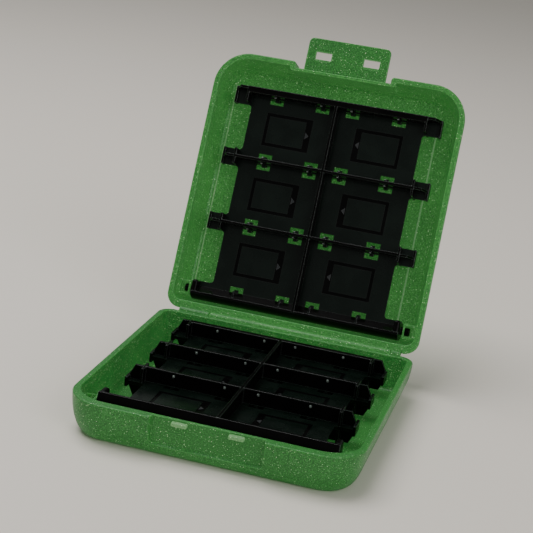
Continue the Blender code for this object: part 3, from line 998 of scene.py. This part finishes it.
        combine(body, Join.UNITE, make("socket_blocks", blocks, self.socket_round))
        combine(body, Join.CUT, make("socket_bores", bores), make("socket_pockets", pockets))

    def is_pale(self, place: Vector) -> bool:
        """Returns whether a place of the closed case takes the pale green."""
        return False

    def place(self, body: Item, node: str, rides_on: str) -> None:
        """Finishes a half, opens the lid's, and gives it to the frame.

        Args:
            body: The half.
            node: The CAD node that it stands for.
            rides_on: The body that carries it.
        """
        dress(body, self.finish, self.pale)
        # The faces picked here take the pale green: plain on the catches, a painted highlight on the lid's
        # ribs.
        for face in body.data.polygons:
            face.material_index = 1 if self.is_pale(face.center) else 0
        if self.side is Side.LID:
            body.data.transform(self.sizes.opened)
        smooth(body)
        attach(body, rides_on)
        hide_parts(node)
        LOG.info("built %s: %d faces", body.name, len(body.data.polygons))


@dataclass
class Hinge:
    """The barrel hinge's sizes: the lid's long barrel on two pegs between the base's knuckles."""

    sizes: CaseSizes
    radius: float = 0.0017
    left_margin: float = 0.0172
    right_margin: float = 0.0088
    neck_inner: float = 0.0016
    neck_outer: float = 0.0002
    neck_top: float = 0.0016
    peg_radius: float = 0.0009
    peg_length: float = 0.0024
    knuckles: Span = (0.0108, 0.0032)
    chamfer: float = 0.0002
    beyond: float = 0.0020

    def barrel(self, more: float = 0) -> Span:
        """Returns the barrel's two ends, with some more added to each."""
        half = self.sizes.width / 2
        return -half + self.left_margin - more, half - self.right_margin + more

    def knuckle_ends(self, more: float) -> Span:
        """Returns how far the left and the right knuckle reach, with some more added."""
        return self.knuckles[0] + more, self.knuckles[1] + more

    def pair(self, shape: Mesh, near: float, far: Span, radius: float, chamfer: float = 0) -> None:
        """Adds a rod past each end of the barrel.

        Args:
            shape: The mesh to add to.
            near: Where both start, out from the barrel's end.
            far: Where the left one and the right one stop.
            radius: The rods' radius.
            chamfer: How far their ends are drawn in.
        """
        left, right = self.barrel()
        rod(shape, (left - far[0], left - near), self.sizes.hinge, radius, chamfer)
        rod(shape, (right + near, right + far[1]), self.sizes.hinge, radius, chamfer)

    def add_to_base(self, body: Item) -> None:
        """Clears the base's rear rim for the barrel and adds a bored knuckle at each end of it.

        Args:
            body: The base.
        """
        gap, axis, chamfer = self.sizes.moving_gap, self.sizes.hinge, self.chamfer
        ends, stop, bore = self.knuckle_ends(gap), self.peg_length + gap, self.peg_radius + gap
        seat = make("seat", lambda shape: rod(shape, self.barrel(gap), axis, self.radius + gap))
        knuckles = make("knuckles", lambda shape: self.pair(shape, gap, ends, self.radius, chamfer))
        bores = make("bores", lambda shape: self.pair(shape, gap - self.beyond, (stop, stop), bore))
        combine(body, Join.CUT, seat)
        combine(body, Join.UNITE, knuckles)
        combine(body, Join.CUT, bores)

    def add_to_lid(self, body: Item) -> None:
        """Clears the lid's rim round the knuckles and adds the barrel with its neck and pegs.

        Args:
            body: The lid.
        """
        gap, axis, chamfer = self.sizes.moving_gap, self.sizes.hinge, self.chamfer
        clearing, radius = self.knuckle_ends(2 * gap), self.radius + gap
        combine(body, Join.CUT, make("clear", lambda shape: self.pair(shape, 0, clearing, radius)))

        def neck(shape: Mesh) -> None:
            """Adds the strip from the barrel up into the rear wall."""
            y_span = (axis[0] - self.neck_inner, axis[0] - self.neck_outer)
            z_span = (self.sizes.rim(Side.LID) + gap, axis[1] + self.neck_top)
            block(shape, self.barrel(-gap), y_span, z_span)

        barrel = make("barrel", lambda shape: rod(shape, self.barrel(), axis, self.radius, chamfer))
        ends = self.barrel(self.peg_length)
        pegs = make("pegs", lambda shape: rod(shape, ends, axis, self.peg_radius, chamfer))
        combine(body, Join.UNITE, barrel, make("neck", neck), pegs)


@dataclass
class BaseShell(Shell):
    """The base: with the hinge's seat and knuckles, and the two catches that the flap snaps over."""

    catch_inset: float = 0.0005
    catch_sunk: float = 0.0007
    catch_root: float = 0.0006
    catch_round: Rounding = Rounding(0.0004, 3)
    pale_skin: float = 0.00005
    pale_margin: float = 0.0001

    @property
    def catch_span(self) -> Span:
        """The catches' lowest and highest z."""
        return self.heights(self.sizes.catch_top, self.sizes.catch_top + self.sizes.catch_height)

    def catches(self, shape: Mesh) -> None:
        """Adds the two catches.

        Args:
            shape: The mesh to add to.
        """
        front, half = self.sizes.front, self.sizes.slot_half - self.catch_inset
        y_span = (front + self.catch_sunk, front + self.sizes.recess_depth + self.catch_root)
        for x in self.sizes.slots:
            block(shape, around(x, half), y_span, self.catch_span)

    def is_pale(self, place: Vector) -> bool:
        """Returns whether a place is on a catch.

        Args:
            place: A place of the closed case.

        Returns:
            True on a catch.
        """
        outward = self.sizes.front + self.sizes.recess_depth - place.y
        beside = abs(abs(place.x) - self.sizes.slot_centre_x) < self.sizes.slot_half
        low, high = self.catch_span
        level = low - self.pale_margin < place.z < high + self.pale_margin
        return beside and outward > self.pale_skin and level

    def build(self) -> None:
        """Builds the base and gives it to the frame."""
        body = self.body("base_shell_moulding")
        self.add_sockets(body, self.sizes.tray_centre - self.sizes.pivot)
        Hinge(self.sizes).add_to_base(body)
        combine(body, Join.UNITE, make("catches", self.catches, self.catch_round))
        self.place(body, "base_shell", "base")


@dataclass
class LidShell(Shell):
    """The lid: with the hinge's barrel, and two fine ribs down its floor."""

    side: Side = Side.LID
    rear_extra: float = 0.0009
    rib_x: Span = (-0.0394, 0.0351)
    rib_y: Span = (-0.0370, 0.0400)
    rib_half: float = 0.00025
    rib_high: Span = (0.00008, 0.00035)
    rib_round: Rounding = Rounding(0.00008)
    pale_margin: float = 0.00001
    pale_span: Span = (0.00002, 0.0004)

    def ribs(self, shape: Mesh) -> None:
        """Adds the two ribs.

        Args:
            shape: The mesh to add to.
        """
        depth = self.sizes.cavity_depth
        for x, high in zip(self.rib_x, self.rib_high):
            z_span = self.heights(depth - high, depth + self.rib_half)
            block(shape, around(x, self.rib_half), self.rib_y, z_span)

    def is_pale(self, place: Vector) -> bool:
        """Returns whether a place is on a rib.

        Args:
            place: A place of the closed case.

        Returns:
            True on a rib.
        """
        # The ribs' pale green is a painted highlight along them.
        beside = any(abs(place.x - x) < self.rib_half + self.pale_margin for x in self.rib_x)
        raised = abs(self.height(self.sizes.cavity_depth) - place.z)
        along = self.rib_y[0] < place.y < self.rib_y[1]
        return beside and along and self.pale_span[0] < raised < self.pale_span[1]

    def build(self) -> None:
        """Builds the lid, opens it and gives it to the frame."""
        body = self.body("lid_shell_moulding")
        self.add_sockets(body, self.sizes.tray_centre + self.sizes.pivot)
        Hinge(self.sizes).add_to_lid(body)
        combine(body, Join.UNITE, make("ribs", self.ribs, self.rib_round))
        self.place(body, "lid_shell", "lid")


@dataclass
class LatchFlap:
    """The latch flap: a rounded plate on a round root, with two slots and a ledge under each."""

    sizes: CaseSizes
    finish: Material
    side_gap: float = 0.0024
    thickness: float = 0.0013
    axis_rise: float = 0.0038
    reach: float = 0.0090
    end_gap: float = 0.0013
    corner: float = 0.0018
    corner_steps: int = 8
    slot_around: float = 0.0008
    ledge_inset: float = 0.0003
    ledge_proud: float = 0.00012
    ledge_width: float = 0.0006
    root_chamfer: float = 0.0002
    plate_round: Rounding = Rounding(0.0003, 3)
    slot_round: Rounding = Rounding(0.0003, 3)
    ledge_round: Rounding = Rounding(0.0001)

    @property
    def half(self) -> float:
        """Half the flap's width."""
        return self.sizes.recess_half - self.side_gap

    @property
    def axis(self) -> Flat:
        """The root's y and z, with the case closed."""
        y = self.sizes.front + self.sizes.recess_depth - self.sizes.moving_gap - self.thickness / 2
        return y, self.sizes.rim(Side.LID) + self.axis_rise

    @property
    def slot_span(self) -> Span:
        """How far a slot's two sides are from the root."""
        near = self.axis_rise + self.sizes.rim_gap + self.sizes.catch_top - self.slot_around
        return near, near + self.sizes.catch_height + 2 * self.slot_around

    def plate(self, shape: Mesh) -> None:
        """Adds the plate.

        Args:
            shape: The mesh to add to.
        """
        y, z = self.axis
        tip = y - (self.axis_rise + self.reach - self.end_gap)
        outline = [(self.half, y), (-self.half, y)]
        for x, start in ((-self.half + self.corner, 180), (self.half - self.corner, 270)):
            outline += arc(x, tip + self.corner, self.corner, start, self.corner_steps)
        prism(shape, outline, around(z, self.thickness / 2))

    def slots(self, shape: Mesh) -> None:
        """Adds the slots' space.

        Args:
            shape: The mesh to add to.
        """
        y, z = self.axis
        near, far = self.slot_span
        for x in self.sizes.slots:
            block(shape, around(x, self.sizes.slot_half), (y - far, y - near), around(z, self.thickness))

    def ledges(self, shape: Mesh) -> None:
        """Adds the ledge along each slot's near side.

        Args:
            shape: The mesh to add to.
        """
        y, z = self.axis
        near = y - self.slot_span[0]
        z_span = (z - self.thickness / 2 - self.ledge_proud, z)
        for x in self.sizes.slots:
            half = self.sizes.slot_half - self.ledge_inset
            block(shape, around(x, half), (near, near + self.ledge_width), z_span)

    def root(self, shape: Mesh) -> None:
        """Adds the round root."""
        rod(shape, around(0, self.half), self.axis, self.thickness / 2, self.root_chamfer)

    def build(self) -> None:
        """Builds the flap as it stands on the open lid, and gives it to the frame."""
        flap = make("latch_flap_plate", self.plate, self.plate_round)
        combine(flap, Join.UNITE, make("root", self.root), make("ledges", self.ledges, self.ledge_round))
        combine(flap, Join.CUT, make("slots", self.slots, self.slot_round))
        flap.data.transform(self.sizes.opened)
        dress(flap, self.finish)
        smooth(flap)
        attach(flap, "latch")
        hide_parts("latch_flap")
        LOG.info("built %s: %d faces", flap.name, len(flap.data.polygons))


@dataclass
class Tray:
    """A two-sided card tray: spine, bars, hooked ends, tabs, pivot bar, pins, nubs, slots and grooves."""

    sizes: CaseSizes
    finishes: Sequence[Material]
    grey: Material
    floor_half: float = 0.00055
    wall_half: float = 0.0006
    end_plate: float = 0.0010
    bar_outer: float = 0.0017
    hook: float = 0.0029
    front_hook: float = 0.0038
    tab_length: float = 0.0065
    tab_shoulder: float = 0.0023
    notch_round: float = 0.0012
    notch_steps: int = 6
    notch_step: float = 0.0006
    tab_half: float = 0.0031
    tab_plate: float = 0.0010
    tab_high: float = 0.0016
    inset: float = 0.0001
    pivot_foot: float = 0.0003
    pivot_peak: float = 0.00245
    pivot_top: float = 0.00075
    pivot_bulge: float = 0.0018
    bulge_steps: int = 12
    pivot_tab: float = 0.0017
    pivot_block: float = 0.0022
    pivot_slot_shift: float = 0.0009
    pin_chamfer: float = 0.0003
    slot_from_spine: float = 0.00545
    slot_from_end: float = 0.0094
    slot_half: float = 0.0025
    slot_near: float = 0.0009
    slot_far: float = 0.0029
    nub_half: float = 0.0004
    nub_proud: float = 0.0007
    nub_below: float = 0.0008
    nub_height: float = 0.0009
    nub_root: float = 0.0003
    tongue_half: float = 0.0007
    tongue_reach: float = 0.0019
    tongue_below: float = 0.00004
    ring_from_spine: float = 0.0078
    ring_from_end: float = 0.0069
    ring_from_line: float = 0.0059
    ring_band: float = 0.0012
    ring_wide: float = 0.0023
    ring_depth: float = 0.00025
    arrow_half: float = 0.0012
    arrow_length: float = 0.0013
    arrow_inset: float = 0.00035
    arrow_sunk: float = 0.0001
    arrow_below: float = 0.00003
    level: float = 0.95
    margin: float = 0.0001
    wall_round: Rounding = Rounding(0.00035, 3, 60)
    rib_round: Rounding = Rounding(0.0002)
    plate_round: Rounding = Rounding(0.0003)
    bar_round: Rounding = Rounding(0.00015, 2, 40)
    block_round: Rounding = Rounding(0.0009, 4)
    nub_round: Rounding = Rounding(0.0003)
    tongue_round: Rounding = Rounding(0.00015)

    @property
    def lines(self) -> list[float]:
        """The four divider lines' y, from the free end to the pivot end, about the tray's middle."""
        rows, pitch = self.sizes.rows, self.sizes.pitch
        return [(index - rows / 2) * pitch - self.sizes.line_shift for index in range(rows + 1)]

    @property
    def pivot_tip(self) -> float:
        """The y where the pivot bar's flat tips end and its bulge starts."""
        return self.lines[-1] + self.pivot_peak + self.pivot_top

    @property
    def notch_x(self) -> float:
        """Where the notches between the tabs end."""
        return self.sizes.tab_x - self.tab_length

    @property
    def pocket_end(self) -> float:
        """Where the pockets end."""
        return self.notch_x + self.notch_step

    @property
    def slot_x(self) -> tuple[float, ...]:
        """The x of the slots' and nubs' middles."""
        near, far = self.slot_from_spine, self.pocket_end - self.slot_from_end
        return near, far, -near, -far

    @property
    def bar_sides(self) -> list[tuple[float, int]]:
        """The bars' y with the side that faces a pocket."""
        free, second, third, pivot = self.lines
        return [(free, 1), (second, -1), (second, 1), (third, -1), (third, 1), (pivot, -1)]

    @property
    def rings(self) -> list[tuple[int, float, float, Span]]:
        """The ring grooves: their side, their two distances from the spine, and their y."""
        near, far = self.ring_from_spine, self.pocket_end - self.ring_from_end
        half = self.sizes.pitch / 2 - self.ring_from_line
        spans = [around((low + high) / 2, half) for low, high in zip(self.lines, self.lines[1:])]
        return [(side, near, far, y_span) for y_span in spans for side in BOTH_WAYS]

    def beside_bars(self, near: float, far: float) -> list[Span]:
        """Works out where something lies beside the bars, on the sides that face a pocket.

        Args:
            near: How far from the bar's line it starts.
            far: How far from the line it ends.

        Returns:
            The lowest and highest y, for each side of a bar.
        """
        spans = []
        for line, side in self.bar_sides:
            if line == self.lines[-1]:
                line += self.pivot_slot_shift
            spans.append(between(line + side * near, line + side * far))
        return spans

    def at_end(self, side: int, length: float) -> Span:
        """Returns the lowest and highest x of a length at the tray's left or right end."""
        return between(side * (self.sizes.tab_x - length), side * self.sizes.tab_x)

    def walls(self, shape: Mesh) -> None:
        """Adds the full-height walls: the spine, three bars and their hooked ends.

        Args:
            shape: The mesh to add to.
        """
        free, second, third, _ = self.lines
        wall, near, far = self.wall_half, self.pocket_end, self.pocket_end + self.end_plate
        right = [(far, free - self.bar_outer)]
        for line, hook in ((free, self.front_hook), (second, self.hook), (third, self.hook)):
            if line != free:
                right += [(wall, line - wall), (near, line - wall), (near, line - hook), (far, line - hook)]
            right += [(far, line + hook), (near, line + hook), (near, line + wall), (wall, line + wall)]
        right.append((wall, self.pivot_tip))
        prism(shape, mirrored(right), around(0, self.sizes.tray_high))

    def notch(self, y: float, way: int) -> list[Flat]:
        """Returns a notch's corner at a tab edge's y, where it goes on towards +y or, with way -1, -y."""
        corner = rounded(self.notch_round, self.notch_steps)[::way]
        return [(self.notch_x + across, y + way * along) for across, along in corner]

    def floor(self, shape: Mesh) -> None:
        """Adds the floor with its tabs and the notches between them.

        Args:
            shape: The mesh to add to.
        """
        free, second, third, pivot = self.lines
        edge, half = self.sizes.tab_x - self.inset, self.tab_half - self.inset
        tabs = (
            (free - self.bar_outer + self.inset, free + 2 * half - self.bar_outer),
            around(second, half),
            around(third, half),
            (pivot - self.pivot_tab, pivot + self.sizes.pin_offset),
        )
        right: list[Flat] = []
        for number, (low, high) in enumerate(tabs):
            if number:
                right += self.notch(low, -1)
            right += [(edge, low), (edge, high)]
            if number < self.sizes.rows:
                right += self.notch(high, 1)
        prism(shape, mirrored(right), around(0, self.floor_half))

    def tab_ribs(self, shape: Mesh) -> None:
        """Adds each tab's rib, full height at the pockets and sloping down to its tip.

        Args:
            shape: The mesh to add to.
        """
        high, half = self.sizes.tray_high - self.inset, self.wall_half - self.inset
        start = self.pocket_end + self.end_plate / 2
        shoulder, tip = self.sizes.tab_x - self.tab_shoulder, self.sizes.tab_x - self.tab_plate / 2
        upper = [(tip, self.tab_high), (shoulder, high), (start, high)]
        section = [(x, -z) for x, z in reversed(upper)] + upper
        free, second, third, _ = self.lines
        for line in (free - self.bar_outer + self.inset + half, second, third):
            for side in BOTH_WAYS:
                loft(shape, [[(side * x, y, z) for x, z in section] for y in around(line, half)])

    def tab_plates(self, shape: Mesh) -> None:
        """Adds the low plate across each tab's tip.

        Args:
            shape: The mesh to add to.
        """
        free, second, third, _ = self.lines
        outer, half = self.bar_outer, self.tab_half
        for line, low, high in ((free, outer, 2 * half - outer), (second, half, half), (third, half, half)):
            for side in BOTH_WAYS:
                z_span = around(0, self.tab_high + self.inset)
                block(shape, self.at_end(side, self.tab_plate), (line - low, line + high), z_span)

    def pivot_bar(self, shape: Mesh) -> None:
        """Adds the pivot bar, with faces sloping up from the floors, flat tips and a bulging outer side.

        Args:
            shape: The mesh to add to.
        """
        pivot, high, bulge = self.lines[-1], self.sizes.tray_high - self.inset, self.pivot_bulge
        radius = (high**2 + bulge**2) / (2 * bulge)
        middle, reach = self.pivot_tip + bulge - radius, math.asin(high / radius)
        peak, foot = pivot + self.pivot_peak, pivot - self.pivot_foot
        section = [(peak, high), (foot, 0), (peak, -high)]
        for step in range(self.bulge_steps + 1):
            angle = reach * (2 * step / self.bulge_steps - 1)
            section.append((middle + radius * math.cos(angle), radius * math.sin(angle)))
        loft(shape, [[(x, y, z) for y, z in section] for x in around(0, self.sizes.tab_x - self.inset)])

    def pivot_ends(self, shape: Mesh) -> None:
        """Adds the blocks at the pivot bar's two ends.

        Args:
            shape: The mesh to add to.
        """
        y_span = (self.lines[-1] - self.pivot_tab, self.pivot_tip)
        z_span = around(0, self.sizes.tray_high - self.inset)
        for side in BOTH_WAYS:
            block(shape, self.at_end(side, self.pivot_block), y_span, z_span)

    def pins(self, shape: Mesh) -> None:
        """Adds the pivot pins as one rod through the pivot bar."""
        axis = (self.lines[-1] + self.sizes.pin_offset, 0)
        rod(shape, around(0, self.sizes.pin_end), axis, self.sizes.pin_radius, self.pin_chamfer)

    def nubs(self, shape: Mesh) -> None:
        """Adds the nubs that hold the cards, over and under each slot.

        Args:
            shape: The mesh to add to.
        """
        high = self.sizes.tray_high - self.nub_below
        low = high - self.nub_height
        for line, side in self.bar_sides:
            root, tip = self.wall_half - self.nub_root, self.wall_half + self.nub_proud
            if line == self.lines[-1]:
                root, tip = -self.pivot_peak - self.nub_root, self.nub_root
            y_span = between(line + side * root, line + side * tip)
            for x in self.slot_x:
                for z_span in ((low, high), (-high, -low)):
                    block(shape, around(x, self.nub_half), y_span, z_span)

    def at_slots(self, shape: Mesh, reach: Span, half: float, high: float) -> None:
        """Adds a box at each slot.

        Args:
            shape: The mesh to add to.
            reach: How far from the bar's line it starts and ends.
            half: Half its width.
            high: Half its height.
        """
        for y_span in self.beside_bars(*reach):
            for x in self.slot_x:
                block(shape, around(x, half), y_span, around(0, high))

    def slots(self, shape: Mesh) -> None:
        """Adds the space of the slots beside the bars."""
        self.at_slots(shape, (self.slot_near, self.slot_far), self.slot_half, 2 * self.floor_half)

    def tongues(self, shape: Mesh) -> None:
        """Adds the small tongue that reaches from the bar into each slot."""
        high = self.floor_half - self.tongue_below
        self.at_slots(shape, (self.wall_half / 2, self.tongue_reach), self.tongue_half, high)

    def grooves(self, shape: Mesh) -> None:
        """Adds the space of the ring grooves, wider towards the spine.

        Args:
            shape: The mesh to add to.
        """
        for side, near, far, (low, high) in self.rings:
            island = between(side * (near + self.ring_wide), side * (far - self.ring_band))
            outer = (between(side * near, side * far), (low, high))
            inner = (island, (low + self.ring_band, high - self.ring_band))
            for face in BOTH_WAYS:
                z_span = between(face * (self.floor_half - self.ring_depth), face * 2 * self.floor_half)
                frame(shape, outer, inner, z_span)

    def arrows(self, shape: Mesh) -> None:
        """Adds the small raised arrows in the grooves' wide bands, which point to the spine.

        Args:
            shape: The mesh to add to.
        """
        bottom, top = self.floor_half - self.ring_depth - self.arrow_sunk, self.floor_half - self.arrow_below
        for side, near, _, (low, high) in self.rings:
            foot, middle = near + self.ring_wide - self.arrow_inset, (low + high) / 2
            tip = (side * (foot - self.arrow_length), middle)
            outline = [(side * foot, middle - self.arrow_half), tip, (side * foot, middle + self.arrow_half)]
            for face in BOTH_WAYS:
                prism(shape, outline, between(face * bottom, face * top))

    def area(self, face: bpy.types.MeshPolygon) -> Area:
        """Returns the part of the tray's surface that a face belongs to.

        Args:
            face: The face, about the tray's own middle.

        Returns:
            Its area.
        """
        place = face.center
        if abs(face.normal.z) > self.level and abs(abs(place.z) - self.floor_half) < self.margin:
            return Area.FLOOR
        # Faces within the floor's thickness, in the grooves and slots, take the darker black: painted shade.
        if abs(place.z) < self.floor_half:
            return Area.GROOVE
        beside = any(abs(place.x - x) < self.nub_half + self.margin for x in self.slot_x)
        reach = self.wall_half + self.nub_proud / 2
        past = any(reach < side * (place.y - line) < 2 * reach for line, side in self.bar_sides[:-1])
        return Area.NUB_END if beside and past else Area.WALL

    def moulding(self, name: str) -> Item:
        """Builds the tray about its own middle, with its finishes.

        Args:
            name: The piece's name.

        Returns:
            The new object.
        """
        tray = make(name, self.walls, self.wall_round)
        parts = [
            make("floor", self.floor),
            make("tab_ribs", self.tab_ribs, self.rib_round),
            make("tab_plates", self.tab_plates, self.plate_round),
            make("pivot_bar", self.pivot_bar, self.bar_round),
            make("pivot_ends", self.pivot_ends, self.block_round),
            make("pins", self.pins),
            make("nubs", self.nubs, self.nub_round),
        ]
        combine(tray, Join.UNITE, *parts)
        combine(tray, Join.CUT, make("slots", self.slots), make("grooves", self.grooves))
        combine(tray, Join.UNITE, make("tongues", self.tongues, self.tongue_round))
        dress(tray, *self.finishes)
        for face in tray.data.polygons:
            face.material_index = self.area(face).value
        return tray

    def build(self, side: Side, node: str, rides_on: str) -> None:
        """Builds a tray with its arrows and gives both to the frame.

        Args:
            side: The half that the tray is in.
            node: The CAD node that it stands for.
            rides_on: The body that carries it.
        """
        tray = self.moulding(node + "_moulding")
        arrows = make(node + "_arrows", self.arrows)
        dress(arrows, self.grey)
        middle = self.sizes.rim(side) + side.value * self.sizes.tray_depth
        place = Matrix.Translation((0, self.sizes.tray_centre, middle))
        place = self.sizes.opened @ place if side is Side.LID else place @ Matrix.Rotation(math.pi, 4, "Z")
        for piece in (tray, arrows):
            piece.data.transform(place)
            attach(piece, rides_on)
            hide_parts(node)
            LOG.info("built %s: %d faces", piece.name, len(piece.data.polygons))
        smooth(tray)


@dataclass(frozen=True)
class Light:
    """A square soft light, aimed at the case."""

    name: str
    place: Point
    size: float
    power: float


@dataclass
class Studio:
    """The camera at the photograph's view, the lights and the floor round the case."""

    camera_place: Point = (0.099519, -0.431717, 0.187982)
    camera_rows: tuple[Point, Point, Point] = (
        (0.958252, 0.258528, 0.122134),
        (0.190734, -0.259752, -0.946652),
        (-0.213012, 0.930426, -0.298217),
    )
    lens: float = 101.725
    sensor: float = 36
    aim: Point = (0, 0, 0.03)
    soft_lights: tuple[Light, ...] = (
        Light("top", (-0.35, 0.1, 0.85), 0.7, 7.5),
        Light("front", (0.65, -0.6, 0.5), 0.6, 3.6),
    )
    room_colour: Colour = (0.9, 0.93, 0.9)
    room_light: float = 0.28
    floor_colour: Colour = (0.78, 0.72, 0.65)
    floor_roughness: float = 0.6
    floor_half: float = 9

    def build(self) -> None:
        """Sets the camera, the lights, the room and the floor."""
        self.camera()
        for light in self.soft_lights:
            self.light(light)
        self.room()
        self.floor()

    def camera(self) -> None:
        """Places the camera at the photograph's view."""
        data = bpy.data.cameras.new("camera")
        data.sensor_fit = "HORIZONTAL"
        data.sensor_width = self.sensor
        data.lens = self.lens
        item = bpy.data.objects.new("camera", data)
        bpy.context.scene.collection.objects.link(item)
        right, down, forward = (Vector(row) for row in self.camera_rows)
        turn = Matrix((right, -down, -forward)).transposed().to_4x4()
        item.matrix_world = Matrix.Translation(self.camera_place) @ turn
        bpy.context.scene.camera = item

    def light(self, light: Light) -> None:
        """Adds a light.

        Args:
            light: Its name, place, size and power.
        """
        data = bpy.data.lights.new(light.name, "AREA")
        data.size = light.size
        data.energy = light.power
        item = bpy.data.objects.new(light.name, data)
        bpy.context.scene.collection.objects.link(item)
        item.location = light.place
        item.rotation_euler = (Vector(self.aim) - Vector(light.place)).to_track_quat("-Z", "Y").to_euler()

    def room(self) -> None:
        """Surrounds the case with a pale room."""
        world = bpy.data.worlds.new("room")
        world.use_nodes = True
        inputs = world.node_tree.nodes["Background"].inputs
        inputs["Color"].default_value = (*self.room_colour, 1)
        inputs["Strength"].default_value = self.room_light
        bpy.context.scene.world = world

    def floor(self) -> None:
        """Lays the plain pale floor."""

        def sheet(shape: Mesh) -> None:
            """Adds one square."""
            bmesh.ops.create_grid(shape, x_segments=1, y_segments=1, size=self.floor_half)

        item = make("floor", sheet)
        material = bpy.data.materials.new("floor_pale")
        material.use_nodes = True
        inputs = material.node_tree.nodes["Principled BSDF"].inputs
        inputs["Base Color"].default_value = (*self.floor_colour, 1)
        inputs["Roughness"].default_value = self.floor_roughness
        dress(item, material)


def main() -> None:
    """Builds the case round the frame, dresses it and sets the scene round it."""
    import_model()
    Studio().build()
    effects = Effects()
    sizes = CaseSizes()
    pale = PaleGreen().build(effects)
    hollow = sizes.recess_depth + Shell.recess_wall - sizes.wall
    BaseShell(sizes, GlitterGreen().build(effects), pale, front_extra=hollow).build()
    LidShell(sizes, LidGreen().build(effects), pale).build()
    LatchFlap(sizes, FlapGreen().build(effects)).build()
    blacks = [finish().build(effects) for finish in (GlossBlack, SatinBlack, GrooveBlack, NubPaintedGlint)]
    tray = Tray(sizes, blacks, ArrowGrey().build(effects))
    tray.build(Side.BASE, "base_tray", "base")
    tray.build(Side.LID, "lid_tray", "lid")


if __name__ == "__main__":
    logging.basicConfig(level=logging.INFO)
    main()
